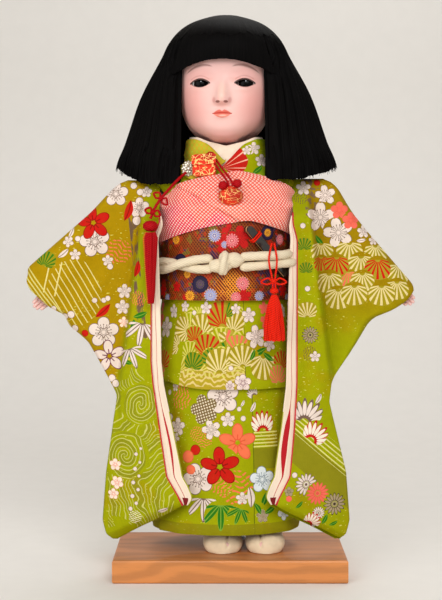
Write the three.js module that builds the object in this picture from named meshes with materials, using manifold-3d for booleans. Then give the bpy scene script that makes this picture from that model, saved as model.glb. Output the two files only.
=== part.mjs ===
// A standing ichimatsu doll in a long-sleeved kimono, on a wooden stand.
// Millimetres, +Z up, the doll faces -Y and its own left hand is on the +X side.
// The origin is the middle of the stand's underside.
import * as THREE from "three";
import { mergeVertices } from "three/addons/utils/BufferGeometryUtils.js";
import Module from "manifold-3d";

const wasm = await Module();
wasm.setup();

// Fits
const CLEARANCE = 0.4; // between layers that touch
const SOLE_GAP = 0.3; // between the soles and the board
const BORE_CLEARANCE = 0.3; // round a plug or a post

// Stand
const BASE_WIDTH = 180;
const BASE_DEPTH = 102;
const BASE_THICKNESS = 18;
const BASE_BEVEL = 1.5;
const DOLL_X = -3; // the doll stands a little to one side of the board
const DOLL_Y = 6;
const POST_RADIUS = 3;
const POST_X = 10; // between and behind the legs
const POST_Y = 19;
const POST_INTO_BASE = 11;
const POST_INTO_TORSO = 34;
const FLANGE_RADIUS = 6.5;
const FLANGE_HEIGHT = 5;

// Heights above the soles
const HEM_Z = 16;
const KNEE_Z = 60;
const CROTCH_Z = 116;
const TUCK_Z = 129; // lower edge of the folded tuck under the sash
const WAIST_Z = 196;
const OBI_Z = 196;
const OBI_HEIGHT = 66;
const CHEST_Z = 252;
const SHOULDER_Z = 287;
const NECK_RISE = 19; // from the shoulders up to the root of the neck
const NECK_Z = SHOULDER_Z + NECK_RISE;
const CHIN_RISE = 12; // from the root of the neck up to the chin
const HEAD_HEIGHT = 102; // from the chin to the top of the hair
const CHIN_Z = NECK_Z + CHIN_RISE;
const EYE_Z = headLevel(45);
const FRINGE_Z = headLevel(62); // straight cut of the hair over the forehead

// A height on the head, drawn for a head 102 mm tall.
function headLevel(height) {
  return CHIN_Z + (height * HEAD_HEIGHT) / 102;
}

// Cloth thicknesses
const BODICE_CLOTH = 1.6;
const JUBAN_CLOTH = 1.2;
const SKIRT_CLOTH = 1.6;
const TUCK_CLOTH = 1.8;
const OBI_CLOTH = 3.8;
const SLEEVE_CLOTH = 1.5;
const COLLAR_CLOTH = 1.8;
const COLLAR_GAP = 1; // under each collar, where the neck curves most
const SCARF_CLOTH = 5;
const HAIR_THICKNESS = 4.5;

// Limbs
const ARM_PIVOT = new THREE.Vector3(56.4, -2, 275.6);
const HAND_POINT = new THREE.Vector3(143, -16, 196);
const ARM_RADIUS = 8.5;
const WRIST_RADIUS = 5.5;
const UPPER_ARM_LENGTH = 62;
const HAND_LENGTH = 27;
const LEG_RADIUS = 13;
const ANKLE_RADIUS = 9;
const HIP_X = 17;
const FOOT_X = 16.6; // half the distance between the feet
const FOOT_Y = -4;
const FEET_SHIFT = 14; // both feet stand this far to the doll's left
const FOOT_LENGTH = 48;
const FOOT_WIDTH = 31;
const FOOT_HEIGHT = 17;
const TABI_CLOTH = 1.3;

// Head
const HEAD_Y = 4; // the head's axis lies this far behind the trunk's
const HEAD_TURN = -4.5; // the face looks this far to the doll's right, in degrees
const NECK_RADIUS = 11;
const NECK_PLUG_LENGTH = 20;
const EYE_X = 17.2;
const EYE_RADIUS = 8;
const EYE_WIDTH = 15;
const EYE_HEIGHT = 6.6;

// Sash cord, fan and hanging pieces
const OBIJIME_RADIUS = 3.6;
const OBIJIME_Z = 226;
const FAN_LENGTH = 50;
const FAN_WIDTH = 9;
const FAN_STICK = 1.5;
const FAN_RIBS = 2;
const TASSEL_LENGTH = 35;
const SIDE_TASSEL_LENGTH = 54;
const POUCH_WIDTH = 15;
const CORD_RADIUS = 0.9;

const BODY_SEGMENTS = 24;
const LIMB_SEGMENTS = 12;

const MATERIALS = {
  wood: { color: 0xb4702f, roughness: 0.45, metalness: 0 },
  steel: { color: 0xb8bcc0, roughness: 0.35, metalness: 1 },
  skin: { color: 0xefd0bd, roughness: 0.4, metalness: 0 },
  glass: { color: 0x0c0806, roughness: 0.05, metalness: 0 },
  hair: { color: 0x0b0a0a, roughness: 0.5, metalness: 0 },
  calico: { color: 0xe9e2d4, roughness: 0.9, metalness: 0 },
  white: { color: 0xf2e9dc, roughness: 0.8, metalness: 0 },
  green: { color: 0x9aa61a, roughness: 0.75, metalness: 0 },
  brocade: { color: 0x8a4a1c, roughness: 0.5, metalness: 0.2 },
  pink: { color: 0xe8746a, roughness: 0.85, metalness: 0 },
  cream: { color: 0xefe3c8, roughness: 0.6, metalness: 0 },
  lacquer: { color: 0x16120f, roughness: 0.2, metalness: 0 },
  orange: { color: 0xe32a0c, roughness: 0.7, metalness: 0 },
  crimson: { color: 0x9c0a18, roughness: 0.7, metalness: 0 },
  gold_red: { color: 0xd8371c, roughness: 0.45, metalness: 0.3 },
  card: { color: 0xcfc4ae, roughness: 0.9, metalness: 0 },
};

// Small helpers

const clamp = (v, lo, hi) => Math.min(hi, Math.max(lo, v));
const lerp = (a, b, t) => a + (b - a) * t;
const span = (n) => Array.from({ length: n + 1 }, (_, i) => i / n);
const rad = THREE.MathUtils.degToRad;
const vec = (x, y, z) => new THREE.Vector3(x, y, z);

function smoothstep(from, to, v) {
  const t = clamp((v - from) / (to - from), 0, 1);
  return t * t * (3 - 2 * t);
}

// A smooth curve through rows of [position, value, value, ...], positions rising.
function profile(rows) {
  return (at) => {
    let i = 0;
    while (i < rows.length - 2 && at > rows[i + 1][0]) i++;
    const [before, a, b, after] = [i - 1, i, i + 1, i + 2].map((k) => rows[clamp(k, 0, rows.length - 1)]);
    const h = b[0] - a[0];
    const t = clamp((at - a[0]) / h, 0, 1);
    return a.slice(1).map((v, k) => {
      const slopeA = ((b[k + 1] - before[k + 1]) / (b[0] - before[0])) * h;
      const slopeB = ((after[k + 1] - v) / (after[0] - a[0])) * h;
      const t2 = t * t;
      const t3 = t2 * t;
      return (
        (2 * t3 - 3 * t2 + 1) * v +
        (t3 - 2 * t2 + t) * slopeA +
        (3 * t2 - 2 * t3) * b[k + 1] +
        (t3 - t2) * slopeB
      );
    });
  };
}

// Straight lines through rows of [position, value], positions rising.
function steps(rows) {
  return (at) => {
    let i = 0;
    while (i < rows.length - 2 && at > rows[i + 1][0]) i++;
    const t = clamp((at - rows[i][0]) / (rows[i + 1][0] - rows[i][0]), 0, 1);
    return lerp(rows[i][1], rows[i + 1][1], t);
  };
}

function volumeOf(points, triangles) {
  let sum = 0;
  for (let i = 0; i < triangles.length; i += 3) {
    const [a, b, c] = [0, 1, 2].map((k) => points[triangles[i + k]]);
    sum += a.dot(b.clone().cross(c));
  }
  return sum / 6;
}

// A closed geometry from points and triangles, with its faces turned outwards.
function closed(points, triangles) {
  if (volumeOf(points, triangles) < 0) {
    for (let i = 0; i < triangles.length; i += 3)
      [triangles[i], triangles[i + 1]] = [triangles[i + 1], triangles[i]];
  }
  const geometry = new THREE.BufferGeometry().setFromPoints(points);
  geometry.setIndex(triangles);
  return geometry;
}

// A skin over rings of points, with both ends capped.
function loft(rings) {
  const n = rings[0].length;
  const points = rings.flat();
  const triangles = [];
  for (let i = 0; i < rings.length - 1; i++) {
    const next = (i + 1) * n;
    for (let j = 0; j < n; j++) {
      const k = (j + 1) % n;
      const [a, b, c, d] = [i * n + j, i * n + k, next + k, next + j];
      triangles.push(a, b, c, a, c, d);
    }
  }
  for (const [ring, flip] of [[0, true], [rings.length - 1, false]]) {
    const middle = rings[ring].reduce((sum, p) => sum.add(p), vec(0, 0, 0)).divideScalar(n);
    points.push(middle);
    for (let j = 0; j < n; j++) {
      const [a, b] = [ring * n + j, ring * n + ((j + 1) % n)];
      triangles.push(points.length - 1, ...(flip ? [b, a] : [a, b]));
    }
  }
  return closed(points, triangles);
}

// A piece of cloth: a grid of points on its outer face and a like grid on its inner face.
// A round one joins its last column to its first.
function cloth(outer, inner, round = false) {
  const [rows, columns] = [outer.length, outer[0].length];
  const points = [...outer.flat(), ...inner.flat()];
  const shift = rows * columns;
  const at = (i, j) => i * columns + (j % columns);
  const triangles = [];
  const quad = (a, b, c, d) => triangles.push(a, b, c, a, c, d);
  const across = round ? columns : columns - 1;
  for (let j = 0; j < across; j++) {
    for (let i = 0; i < rows - 1; i++) {
      const [a, b, c, d] = [at(i, j), at(i, j + 1), at(i + 1, j + 1), at(i + 1, j)];
      quad(a, b, c, d);
      triangles.push(shift + a, shift + c, shift + b, shift + a, shift + d, shift + c);
    }
    const last = rows - 1;
    quad(at(0, j + 1), at(0, j), shift + at(0, j), shift + at(0, j + 1));
    quad(at(last, j), at(last, j + 1), shift + at(last, j + 1), shift + at(last, j));
  }
  for (let i = 0; i < rows - 1 && !round; i++) {
    quad(at(i, 0), at(i + 1, 0), shift + at(i + 1, 0), shift + at(i, 0));
    const last = columns - 1;
    quad(at(i + 1, last), at(i, last), shift + at(i, last), shift + at(i + 1, last));
  }
  return closed(points, triangles);
}

const tubeWall = (outer, inner) => cloth(outer, inner, true);

// Joining and cutting solids

function toSolid(geometry) {
  const bare = new THREE.BufferGeometry().setAttribute("position", geometry.getAttribute("position"));
  if (geometry.index) bare.setIndex(geometry.index);
  const merged = mergeVertices(bare, 1e-4);
  return new wasm.Manifold(
    new wasm.Mesh({
      numProp: 3,
      vertProperties: new Float32Array(merged.attributes.position.array),
      triVerts: new Uint32Array(merged.index.array),
    }),
  );
}

function toGeometry(solid) {
  const mesh = solid.getMesh();
  const geometry = new THREE.BufferGeometry();
  geometry.setAttribute("position", new THREE.BufferAttribute(mesh.vertProperties, 3));
  geometry.setIndex(new THREE.BufferAttribute(mesh.triVerts, 1));
  return geometry;
}

const cut = (body, ...tools) =>
  toGeometry(tools.reduce((solid, tool) => solid.subtract(toSolid(tool)), toSolid(body)));
const join = (...bodies) => toGeometry(bodies.map(toSolid).reduce((a, b) => a.add(b)));

// Basic forms

// A ring round the vertical axis. Angle 0 faces the front and rises towards the doll's left.
function oval(z, halfWidth, front, back = front, segments = BODY_SEGMENTS, middle = vec(0, 0, 0)) {
  return span(segments)
    .slice(0, -1)
    .map((t) => {
      const angle = t * 2 * Math.PI;
      const depth = Math.cos(angle) > 0 ? front : back;
      return vec(middle.x + halfWidth * Math.sin(angle), middle.y - depth * Math.cos(angle), z);
    });
}

// A round limb along a straight axis, from rows of [distance, radius].
function limb(start, direction, rows, segments = LIMB_SEGMENTS) {
  const along = direction.clone().normalize();
  const side = vec(0, 1, 0).cross(along).normalize();
  const up = along.clone().cross(side);
  return loft(
    rows.map(([distance, radius]) =>
      span(segments)
        .slice(0, -1)
        .map((t) =>
          start
            .clone()
            .addScaledVector(along, distance)
            .addScaledVector(side, radius * Math.cos(t * 2 * Math.PI))
            .addScaledVector(up, radius * Math.sin(t * 2 * Math.PI)),
        ),
    ),
  );
}

function cylinder(radius, z0, z1, x = 0, y = 0, segments = 20) {
  const geometry = new THREE.CylinderGeometry(radius, radius, z1 - z0, segments);
  return geometry.rotateX(Math.PI / 2).translate(x, y, (z0 + z1) / 2);
}

function ellipsoid(center, rx, ry, rz, wide = 14, high = 10) {
  const geometry = new THREE.SphereGeometry(1, wide, high);
  return geometry.scale(rx, ry, rz).translate(center.x, center.y, center.z);
}

function tube(points, radius, count, sides = 8) {
  const outline = new THREE.Shape();
  span(sides)
    .slice(0, -1)
    .forEach((t, i) => {
      const [x, y] = [radius * Math.cos(t * 2 * Math.PI), radius * Math.sin(t * 2 * Math.PI)];
      if (i) outline.lineTo(x, y);
      else outline.moveTo(x, y);
    });
  const path = new THREE.CatmullRomCurve3(points);
  return new THREE.ExtrudeGeometry(outline, { steps: count, bevelEnabled: false, extrudePath: path });
}

// The turned profile of a tassel's skirt or head, from rows of [radius, z] going up.
function turned(rows, segments = 14) {
  const outline = [[0, rows[0][1]], ...rows, [0, rows[rows.length - 1][1]]];
  const geometry = new THREE.LatheGeometry(
    outline.map(([r, z]) => new THREE.Vector2(r, z)),
    segments,
  );
  return geometry.rotateX(Math.PI / 2);
}

// The dressed trunk. Every layer is an offset of this one form.
const trunk = profile([
  [CROTCH_Z, 36, 29],
  [CROTCH_Z + 24, 43, 34.5],
  [WAIST_Z, 44.5, 35.5],
  [CHEST_Z, 45.5, 35.5],
  [SHOULDER_Z - 19, 48, 34.5],
  [SHOULDER_Z - 7, 53, 33],
  [SHOULDER_Z, 57, 31],
  [SHOULDER_Z + 4, 54, 28.5],
  [SHOULDER_Z + 9, 43, 26],
  [SHOULDER_Z + 14, 31.5, 23.5],
  [NECK_Z, 23.5, 21],
  [NECK_Z + 10, 20, 19],
]);

// A point over one of the trunk's flats, which run between its corners.
function onTrunk(angle, z, offset) {
  const [a, b] = trunk(z);
  const step = (2 * Math.PI) / BODY_SEGMENTS;
  const corner = Math.floor(angle / step + 1e-6);
  const [p, q] = [corner, corner + 1].map((k) =>
    vec((a + offset) * Math.sin(k * step), -(b + offset) * Math.cos(k * step), z),
  );
  return p.lerp(q, angle / step - corner);
}

const trunkRing = (z, offset) => {
  const [a, b] = trunk(z);
  return oval(z, a + offset, b + offset);
};

// Heights at which every layer from the waist to the neck takes its rings
const TRUNK_LEVELS = [WAIST_Z - 16, WAIST_Z, CHEST_Z].concat([-19, -7, 0, 4, 9, 13].map((h) => SHOULDER_Z + h));

// A shell round the trunk between two offsets.
const trunkShell = (levels, inner, outer) =>
  tubeWall(
    levels.map((z) => trunkRing(z, outer)),
    levels.map((z) => trunkRing(z, inner)),
  );

// The angles of a band's columns: its two ends and the trunk's own corners between them.
function corners(from, to) {
  const step = 360 / BODY_SEGMENTS;
  const between = [];
  for (let k = Math.floor(from / step) + 1; k * step < to - 1; k++) {
    if (k * step > from + 1) between.push(k * step);
  }
  return [from, ...between, to];
}

// A band that lies on the trunk. low and high give its edges at each angle, in degrees.
function band({ from, to, low, high, inner, outer, rows }) {
  const face = (offset) =>
    span(rows).map((v) =>
      corners(from, to).map((degrees) => {
        const z = lerp(low(degrees), high(degrees), v);
        return onTrunk(rad(degrees), z, offset(z, degrees, v));
      }),
    );
  return cloth(face(outer), face(inner));
}

// Offsets of the layers over the trunk, each from the one below it
const juban_out = -BODICE_CLOTH - 1.6 * CLEARANCE;
const torso_out = juban_out - JUBAN_CLOTH - 1.6 * CLEARANCE;
const skirt_in = CLEARANCE;
const skirt_out = skirt_in + SKIRT_CLOTH;
const wrap_out = skirt_out + CLEARANCE + SKIRT_CLOTH;
const tuck_in = wrap_out + 2 * CLEARANCE;
const tuck_out = tuck_in + TUCK_CLOTH;
const obi_in = tuck_out + CLEARANCE;
const obi_out = obi_in + OBI_CLOTH;
const OBI_TOP = OBI_Z + OBI_HEIGHT;
const SKIRT_TOP = WAIST_Z + 7;

const doll = new THREE.Group();
doll.position.set(DOLL_X, DOLL_Y, BASE_THICKNESS + SOLE_GAP);
const part = new THREE.Group();
part.add(doll);

function add(name, geometry, material, group = doll) {
  const bare = geometry.index ? geometry.toNonIndexed() : geometry;
  const mesh = new THREE.Mesh(bare, new THREE.MeshStandardMaterial(MATERIALS[material]));
  mesh.name = name;
  group.add(mesh);
  return mesh;
}

// The same piece for both sides. Side 1 is the doll's left and -1 its right.
function addPair(name, material, make) {
  for (const [side, word] of [[1, "left"], [-1, "right"]]) add(name + "_" + word, make(side), material);
}

const mirrored = (geometry, side) => {
  if (side > 0) return geometry;
  const flipped = geometry.index ? geometry.toNonIndexed() : geometry.clone();
  const position = flipped.getAttribute("position");
  for (let i = 0; i < position.count; i += 3) {
    const [p, q, r] = [0, 1, 2].map((k) => vec(0, 0, 0).fromBufferAttribute(position, i + k));
    [p, r, q].forEach((point, k) => position.setXYZ(i + k, -point.x, point.y, point.z));
  }
  return flipped;
};

// Stand: a bevelled board, a turned flange and the rod that holds the doll up
function makeStand() {
  const outline = new THREE.Shape();
  const [w, d] = [BASE_WIDTH / 2 - BASE_BEVEL, BASE_DEPTH / 2 - BASE_BEVEL];
  outline.moveTo(-w, -d).lineTo(w, -d).lineTo(w, d).lineTo(-w, d).closePath();
  const board = new THREE.ExtrudeGeometry(outline, {
    depth: BASE_THICKNESS - 2 * BASE_BEVEL,
    bevelThickness: BASE_BEVEL,
    bevelSize: BASE_BEVEL,
    bevelSegments: 2,
  }).translate(0, 0, BASE_BEVEL);
  const post_x = DOLL_X + POST_X;
  const post_y = DOLL_Y + POST_Y;
  const socket = cylinder(
    POST_RADIUS + BORE_CLEARANCE,
    BASE_THICKNESS - POST_INTO_BASE - BORE_CLEARANCE,
    BASE_THICKNESS + 1,
    post_x,
    post_y,
  );
  add("stand_base", cut(board, socket), "wood", part);
  const post_top = BASE_THICKNESS + CROTCH_Z + POST_INTO_TORSO;
  add(
    "stand_post",
    cylinder(POST_RADIUS, BASE_THICKNESS - POST_INTO_BASE, post_top, post_x, post_y),
    "steel",
    part,
  );
  const bore = POST_RADIUS + 2 * BORE_CLEARANCE;
  const foot = BASE_THICKNESS + BORE_CLEARANCE;
  const flange = new THREE.LatheGeometry(
    [
      [bore, foot],
      [FLANGE_RADIUS, foot],
      [FLANGE_RADIUS, foot + FLANGE_HEIGHT * 0.3],
      [bore + 2, foot + FLANGE_HEIGHT * 0.45],
      [bore + 1.5, foot + FLANGE_HEIGHT],
      [bore, foot + FLANGE_HEIGHT],
      [bore, foot],
    ].map(([r, z]) => new THREE.Vector2(r, z)),
    12,
  ).rotateX(Math.PI / 2);
  add("post_flange", flange.translate(post_x, post_y, 0), "steel", part);
}

// Trunk: one moulded body with a bore for the neck and another for the stand's rod
function makeTorso() {
  const levels = [CROTCH_Z, CROTCH_Z + 24, ...TRUNK_LEVELS.slice(0, -1)];
  const rings = levels.map((z) => trunkRing(z, torso_out));
  const bottom = trunkRing(CROTCH_Z, torso_out).map((p) => vec(p.x * 0.7, p.y * 0.7, CROTCH_Z - 6));
  const body = loft([bottom, ...rings]);
  const plug_z = NECK_Z - NECK_PLUG_LENGTH;
  const neck = cylinder(NECK_RADIUS + 2 * BORE_CLEARANCE, plug_z - BORE_CLEARANCE, NECK_Z + 30, 0, HEAD_Y);
  const post = cylinder(
    POST_RADIUS + BORE_CLEARANCE,
    CROTCH_Z - 20,
    CROTCH_Z + POST_INTO_TORSO + BORE_CLEARANCE,
    POST_X,
    POST_Y,
  );
  add("torso", cut(body, neck, post), "skin");
}

// Head: one moulded piece with its neck plug, and two glass eyes seated behind the lids
const headForm = profile([
  [headLevel(-4), 11, 14, 11],
  [headLevel(0), 13, 31, 15],
  [headLevel(5), 21.5, 36, 22],
  [headLevel(13), 29, 39, 31],
  [headLevel(24), 34, 40, 38],
  [headLevel(36), 36.5, 40.5, 42],
  [headLevel(50), 37.5, 40.5, 45],
  [headLevel(63), 37.5, 40.5, 46],
  [headLevel(75), 36.5, 39, 44],
  [headLevel(85), 32, 34, 38],
  [headLevel(92), 23, 24, 27],
  [headLevel(95.5), 10, 11, 12],
]);
const MOUTH_Z = headLevel(22);
const NOSE_Z = headLevel(32.5);

const bump = (v, width) => Math.exp(-(v * v) / (width * width));

// How far the face stands out in front of the plain head at x and z.
function faceRelief(x, z) {
  const side = Math.abs(x);
  const ridge = smoothstep(EYE_Z + 14, NOSE_Z - 1, z) * smoothstep(NOSE_Z - 6, NOSE_Z - 1, z);
  const nose = 6.2 * ridge * bump(x, lerp(3.4, 5.4, smoothstep(EYE_Z, NOSE_Z, z)));
  const lips = 2 * bump(x, 7) * bump(z - MOUTH_Z, 4.4);
  const cheeks = 1.6 * bump(side - 20, 11) * bump(z - MOUTH_Z - 6, 11);
  const sockets = -2 * bump(side - EYE_X, 10) * bump(z - EYE_Z - 3, 7);
  const chin = 1.5 * bump(x, 9) * bump(z - CHIN_Z - 9, 6);
  return nose + lips + cheeks + sockets + chin;
}

function headRing(z, segments) {
  const [a, front, back] = headForm(z);
  return oval(z, a, front, back, segments, vec(0, HEAD_Y, 0)).map((p) => {
    const facing = smoothstep(HEAD_Y, HEAD_Y - front * 0.7, p.y);
    return vec(p.x, p.y - facing * faceRelief(p.x, z), z);
  });
}

// Turns a piece of the head to where the face looks.
const facing = (geometry) =>
  geometry.translate(0, -HEAD_Y, 0).rotateZ(rad(HEAD_TURN)).translate(0, HEAD_Y, 0);

function eyeCentre(side) {
  const [, front] = headForm(EYE_Z);
  const edge = Math.sqrt(1 - (EYE_X / headForm(EYE_Z)[0]) ** 2);
  return vec(side * EYE_X, HEAD_Y - front * edge + EYE_RADIUS + 2.6, EYE_Z);
}

function makeHead() {
  const segments = 30;
  const heights = [0, 2, 6, 12, 18, 23, 27, 31, 36, 40, 46, 53, 61, 72, 84, 92, 95.5];
  const neck = [NECK_Z - NECK_PLUG_LENGTH, NECK_Z, headLevel(-5)].map((z) =>
    oval(z, NECK_RADIUS, NECK_RADIUS, NECK_RADIUS, segments, vec(0, HEAD_Y, 0)),
  );
  const skull = heights.map((h) => headRing(headLevel(h), segments));
  const sockets = [1, -1].flatMap((side) => {
    const centre = eyeCentre(side);
    const lids = new THREE.Shape();
    lids.moveTo(-EYE_WIDTH / 2, 0);
    lids.quadraticCurveTo(0, EYE_HEIGHT, EYE_WIDTH / 2, 0);
    lids.quadraticCurveTo(0, -EYE_HEIGHT, -EYE_WIDTH / 2, 0);
    const slot = new THREE.ExtrudeGeometry(lids, { depth: 14, bevelEnabled: false, curveSegments: 4 });
    slot.rotateX(Math.PI / 2).translate(centre.x, centre.y - EYE_RADIUS + 3, centre.z);
    const seat = EYE_RADIUS + BORE_CLEARANCE;
    return [slot, ellipsoid(centre, seat, seat, seat, 12, 8)];
  });
  add("head", facing(cut(loft([...neck, ...skull]), ...sockets)), "skin");
  addPair("glass_eye", "glass", (side) =>
    facing(ellipsoid(eyeCentre(side), EYE_RADIUS, EYE_RADIUS, EYE_RADIUS, 12, 8)),
  );
}

// Hair: a bobbed wig in five sections over the head
const hairForm = profile([
  [SHOULDER_Z - 5, 90.5, 42, 66],
  [SHOULDER_Z + 16, 87.5, 40, 64],
  [headLevel(3), 79.6, 39, 62],
  [headLevel(38), 67, 42, 57],
  [headLevel(68), 50.5, 48.5, 51.5],
  [headLevel(83), 42.5, 44.5, 48],
  [headLevel(94), 30, 31, 34],
  [headLevel(100.5), 12, 13, 14],
  [headLevel(102), 1, 1, 1],
]);

function onHair(degrees, z, depth) {
  const [a, front, back] = hairForm(z);
  const angle = rad(degrees);
  const reach = Math.cos(angle) > 0 ? front : back;
  return vec((a - depth) * Math.sin(angle), HEAD_Y - (reach - depth) * Math.cos(angle), z);
}

// One section of hair between two angles and two heights.
function lock({ from, to, low, high, columns, rows }) {
  const face = (depth) =>
    span(rows).map((v) =>
      span(columns).map((u) => {
        const z = lerp(low(lerp(from(0), to(0), u)), high, v);
        return onHair(lerp(from(z), to(z), u), z, depth);
      }),
    );
  return cloth(face(0), face(HAIR_THICKNESS));
}

const BANG_ANGLE = 46; // half the width of the fringe, in degrees
const SIDE_ANGLE = 118; // where the side hair meets the back hair
const CAP_Z = headLevel(85);
const SEAM = 1.5; // gap between sections, in degrees
const LOCK_X = 33; // the side hair's front edge beside the cheek

function makeHair() {
  const cap_rings = [CAP_Z + CLEARANCE, headLevel(92), headLevel(98), headLevel(100.8)].map((z) => {
    const [a, front, back] = hairForm(z);
    return oval(z, a, front, back, 24, vec(0, HEAD_Y, 0));
  });
  const skull_top = [85.5, 92, 95.5].map((height, i) => {
    const z = headLevel(height);
    const [a, front, back] = headForm(z);
    const grow = CLEARANCE + i * 0.6;
    const ring = oval(z, a + grow, front + grow, back + grow, 24, vec(0, HEAD_Y, 0));
    return ring.map((p) => vec(p.x, p.y, z + grow));
  });
  skull_top.unshift(skull_top[0].map((p) => vec(p.x, p.y, CAP_Z - 5)));
  add("hair_crown", facing(cut(loft(cap_rings), loft(skull_top))), "hair");

  const always = (degrees) => () => degrees;
  add(
    "hair_fringe",
    facing(
      lock({
        from: always(-BANG_ANGLE + SEAM),
        to: always(BANG_ANGLE - SEAM),
        low: (degrees) => FRINGE_Z - 9 * (degrees / BANG_ANGLE) ** 2,
        high: CAP_Z,
        columns: 14,
        rows: 4,
      }),
    ),
    "hair",
  );
  const frontEdge = (z) => {
    const beside = THREE.MathUtils.radToDeg(Math.asin(LOCK_X / hairForm(z)[0]));
    return lerp(beside, BANG_ANGLE, smoothstep(FRINGE_Z - 27, FRINGE_Z - 13, z));
  };
  const tips = steps([
    [0, SHOULDER_Z + 1],
    [40, SHOULDER_Z + 3],
    [90, SHOULDER_Z + 16],
    [SIDE_ANGLE, SHOULDER_Z + 12],
    [180, SHOULDER_Z + 2],
  ]);
  addPair("hair_side", "hair", (side) => {
    const to = always(SIDE_ANGLE - SEAM);
    const section = lock({ from: frontEdge, to, low: tips, high: CAP_Z, columns: 8, rows: 9 });
    return facing(mirrored(section, side));
  });
  add(
    "hair_back",
    facing(
      lock({
        from: always(SIDE_ANGLE),
        to: always(360 - SIDE_ANGLE),
        low: (degrees) => tips(180 - Math.abs(180 - degrees)),
        high: CAP_Z,
        columns: 10,
        rows: 6,
      }),
    ),
    "hair",
  );
}

// Arms: a stuffed calico upper arm and a moulded forearm with its hand
const arm_axis = HAND_POINT.clone().sub(ARM_PIVOT);
const arm_length = arm_axis.length();
const along_arm = arm_axis.clone().normalize();

function makeArms() {
  addPair("upper_arm", "calico", (side) => {
    const ball = [160, 135, 110, 90].map((d) => [ARM_RADIUS * Math.cos(rad(d)), ARM_RADIUS * Math.sin(rad(d))]);
    const end = UPPER_ARM_LENGTH - CLEARANCE;
    const rows = [...ball, [end * 0.55, ARM_RADIUS], [end - 3, ARM_RADIUS - 0.6], [end, ARM_RADIUS - 2]];
    return mirrored(limb(ARM_PIVOT, along_arm, rows), side);
  });
  addPair("forearm", "skin", (side) => {
    const wrist = arm_length - HAND_LENGTH;
    const rows = [
      [UPPER_ARM_LENGTH, ARM_RADIUS - 2.4],
      [UPPER_ARM_LENGTH + 6, ARM_RADIUS - 0.6],
      [lerp(UPPER_ARM_LENGTH, wrist, 0.6), WRIST_RADIUS + 1.6],
      [wrist, WRIST_RADIUS],
      [wrist + 4, WRIST_RADIUS - 0.4],
    ];
    const palm_at = ARM_PIVOT.clone().addScaledVector(along_arm, wrist + 8);
    const turn = new THREE.Quaternion().setFromUnitVectors(vec(1, 0, 0), along_arm);
    const seat = new THREE.Matrix4().compose(palm_at, turn, vec(1, 1, 1));
    const palm = ellipsoid(vec(0, 0, 0), 9, 4.2, 7, 8, 6).applyMatrix4(seat);
    const fingers = ellipsoid(vec(9, -1.4, 0), 9.5, 2.2, 6, 8, 6);
    const thumb = tube([vec(-2, -2, 4), vec(3, -4.5, 7), vec(8, -5.2, 7.6)], 1.7, 2, 5);
    const digits = [fingers, thumb].map((g) => g.applyMatrix4(seat));
    return mirrored(join(limb(ARM_PIVOT, along_arm, rows), palm, ...digits), side);
  });
}

// Legs: stuffed calico thighs, moulded lower legs and cloth split-toe socks
function footRings(grow, toe, heel) {
  const shape = profile([
    [0, 0.5, 0.62],
    [0.12, 0.86, 0.8],
    [0.35, 1, 0.94],
    [0.6, 0.92, 1.2],
    [0.85, 0.78, 1.5],
    [1, 0.5, 1.35],
  ]);
  return span(6).map((t) => {
    const [w, h] = shape(t);
    const half = (w * FOOT_WIDTH) / 2 - grow;
    const high = h * FOOT_HEIGHT - grow;
    return span(10)
      .slice(0, -1)
      .map((s) => {
        const angle = s * 2 * Math.PI;
        const lift = clamp(Math.sin(angle) + 0.55, 0, 1.55) / 1.55;
        return vec(half * Math.cos(angle), lerp(toe + grow, heel - grow, t), grow + lift * (high - grow));
      });
  });
}

function makeLegs() {
  const hip = (side) => vec(side * HIP_X, 2, CROTCH_Z - 13);
  const knee = (side) => vec(side * (HIP_X - 0.5) + FEET_SHIFT * 0.55, 2, KNEE_Z);
  const ankle = (side) => vec(side * FOOT_X + FEET_SHIFT, FOOT_Y, FOOT_HEIGHT * 1.2);
  addPair("thigh", "calico", (side) => {
    const axis = knee(side).sub(hip(side));
    const length = axis.length();
    const rows = [
      [-4, LEG_RADIUS * 0.6],
      [2, LEG_RADIUS],
      [length * 0.5, LEG_RADIUS + 1],
      [length - 4, LEG_RADIUS - 0.6],
      [length - 1, LEG_RADIUS - 3],
    ];
    return limb(hip(side), axis, rows);
  });
  const [toe, heel] = [-FOOT_LENGTH * 0.68, FOOT_LENGTH * 0.32];
  const place = (geometry, side) => geometry.translate(side * FOOT_X + FEET_SHIFT, FOOT_Y, 0);
  addPair("lower_leg", "skin", (side) => {
    const axis = ankle(side).sub(knee(side));
    const length = axis.length();
    const shin = limb(knee(side), axis, [
      [1, LEG_RADIUS - 3],
      [6, LEG_RADIUS - 0.8],
      [length * 0.5, LEG_RADIUS - 1],
      [length, ANKLE_RADIUS],
      [length + 8, ANKLE_RADIUS - 1],
    ]);
    const foot = place(loft(footRings(TABI_CLOTH + CLEARANCE, toe, heel)), side);
    return join(shin, foot);
  });
  addPair("tabi", "white", (side) => {
    const outer = place(loft(footRings(0, toe, heel)), side);
    const inner = place(loft(footRings(TABI_CLOTH, toe, heel)), side);
    const axis = ankle(side).sub(knee(side));
    const length = axis.length();
    const leg_hole = limb(knee(side), axis, [[length * 0.4, LEG_RADIUS], [length + 9, ANKLE_RADIUS + 1]]);
    const split = new THREE.BoxGeometry(1, FOOT_LENGTH * 0.36, FOOT_HEIGHT * 2);
    split.translate(-side * FOOT_WIDTH * 0.12, toe, FOOT_HEIGHT * 0.2 + FOOT_HEIGHT);
    return cut(outer, inner, leg_hole, place(split, side));
  });
}

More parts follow.
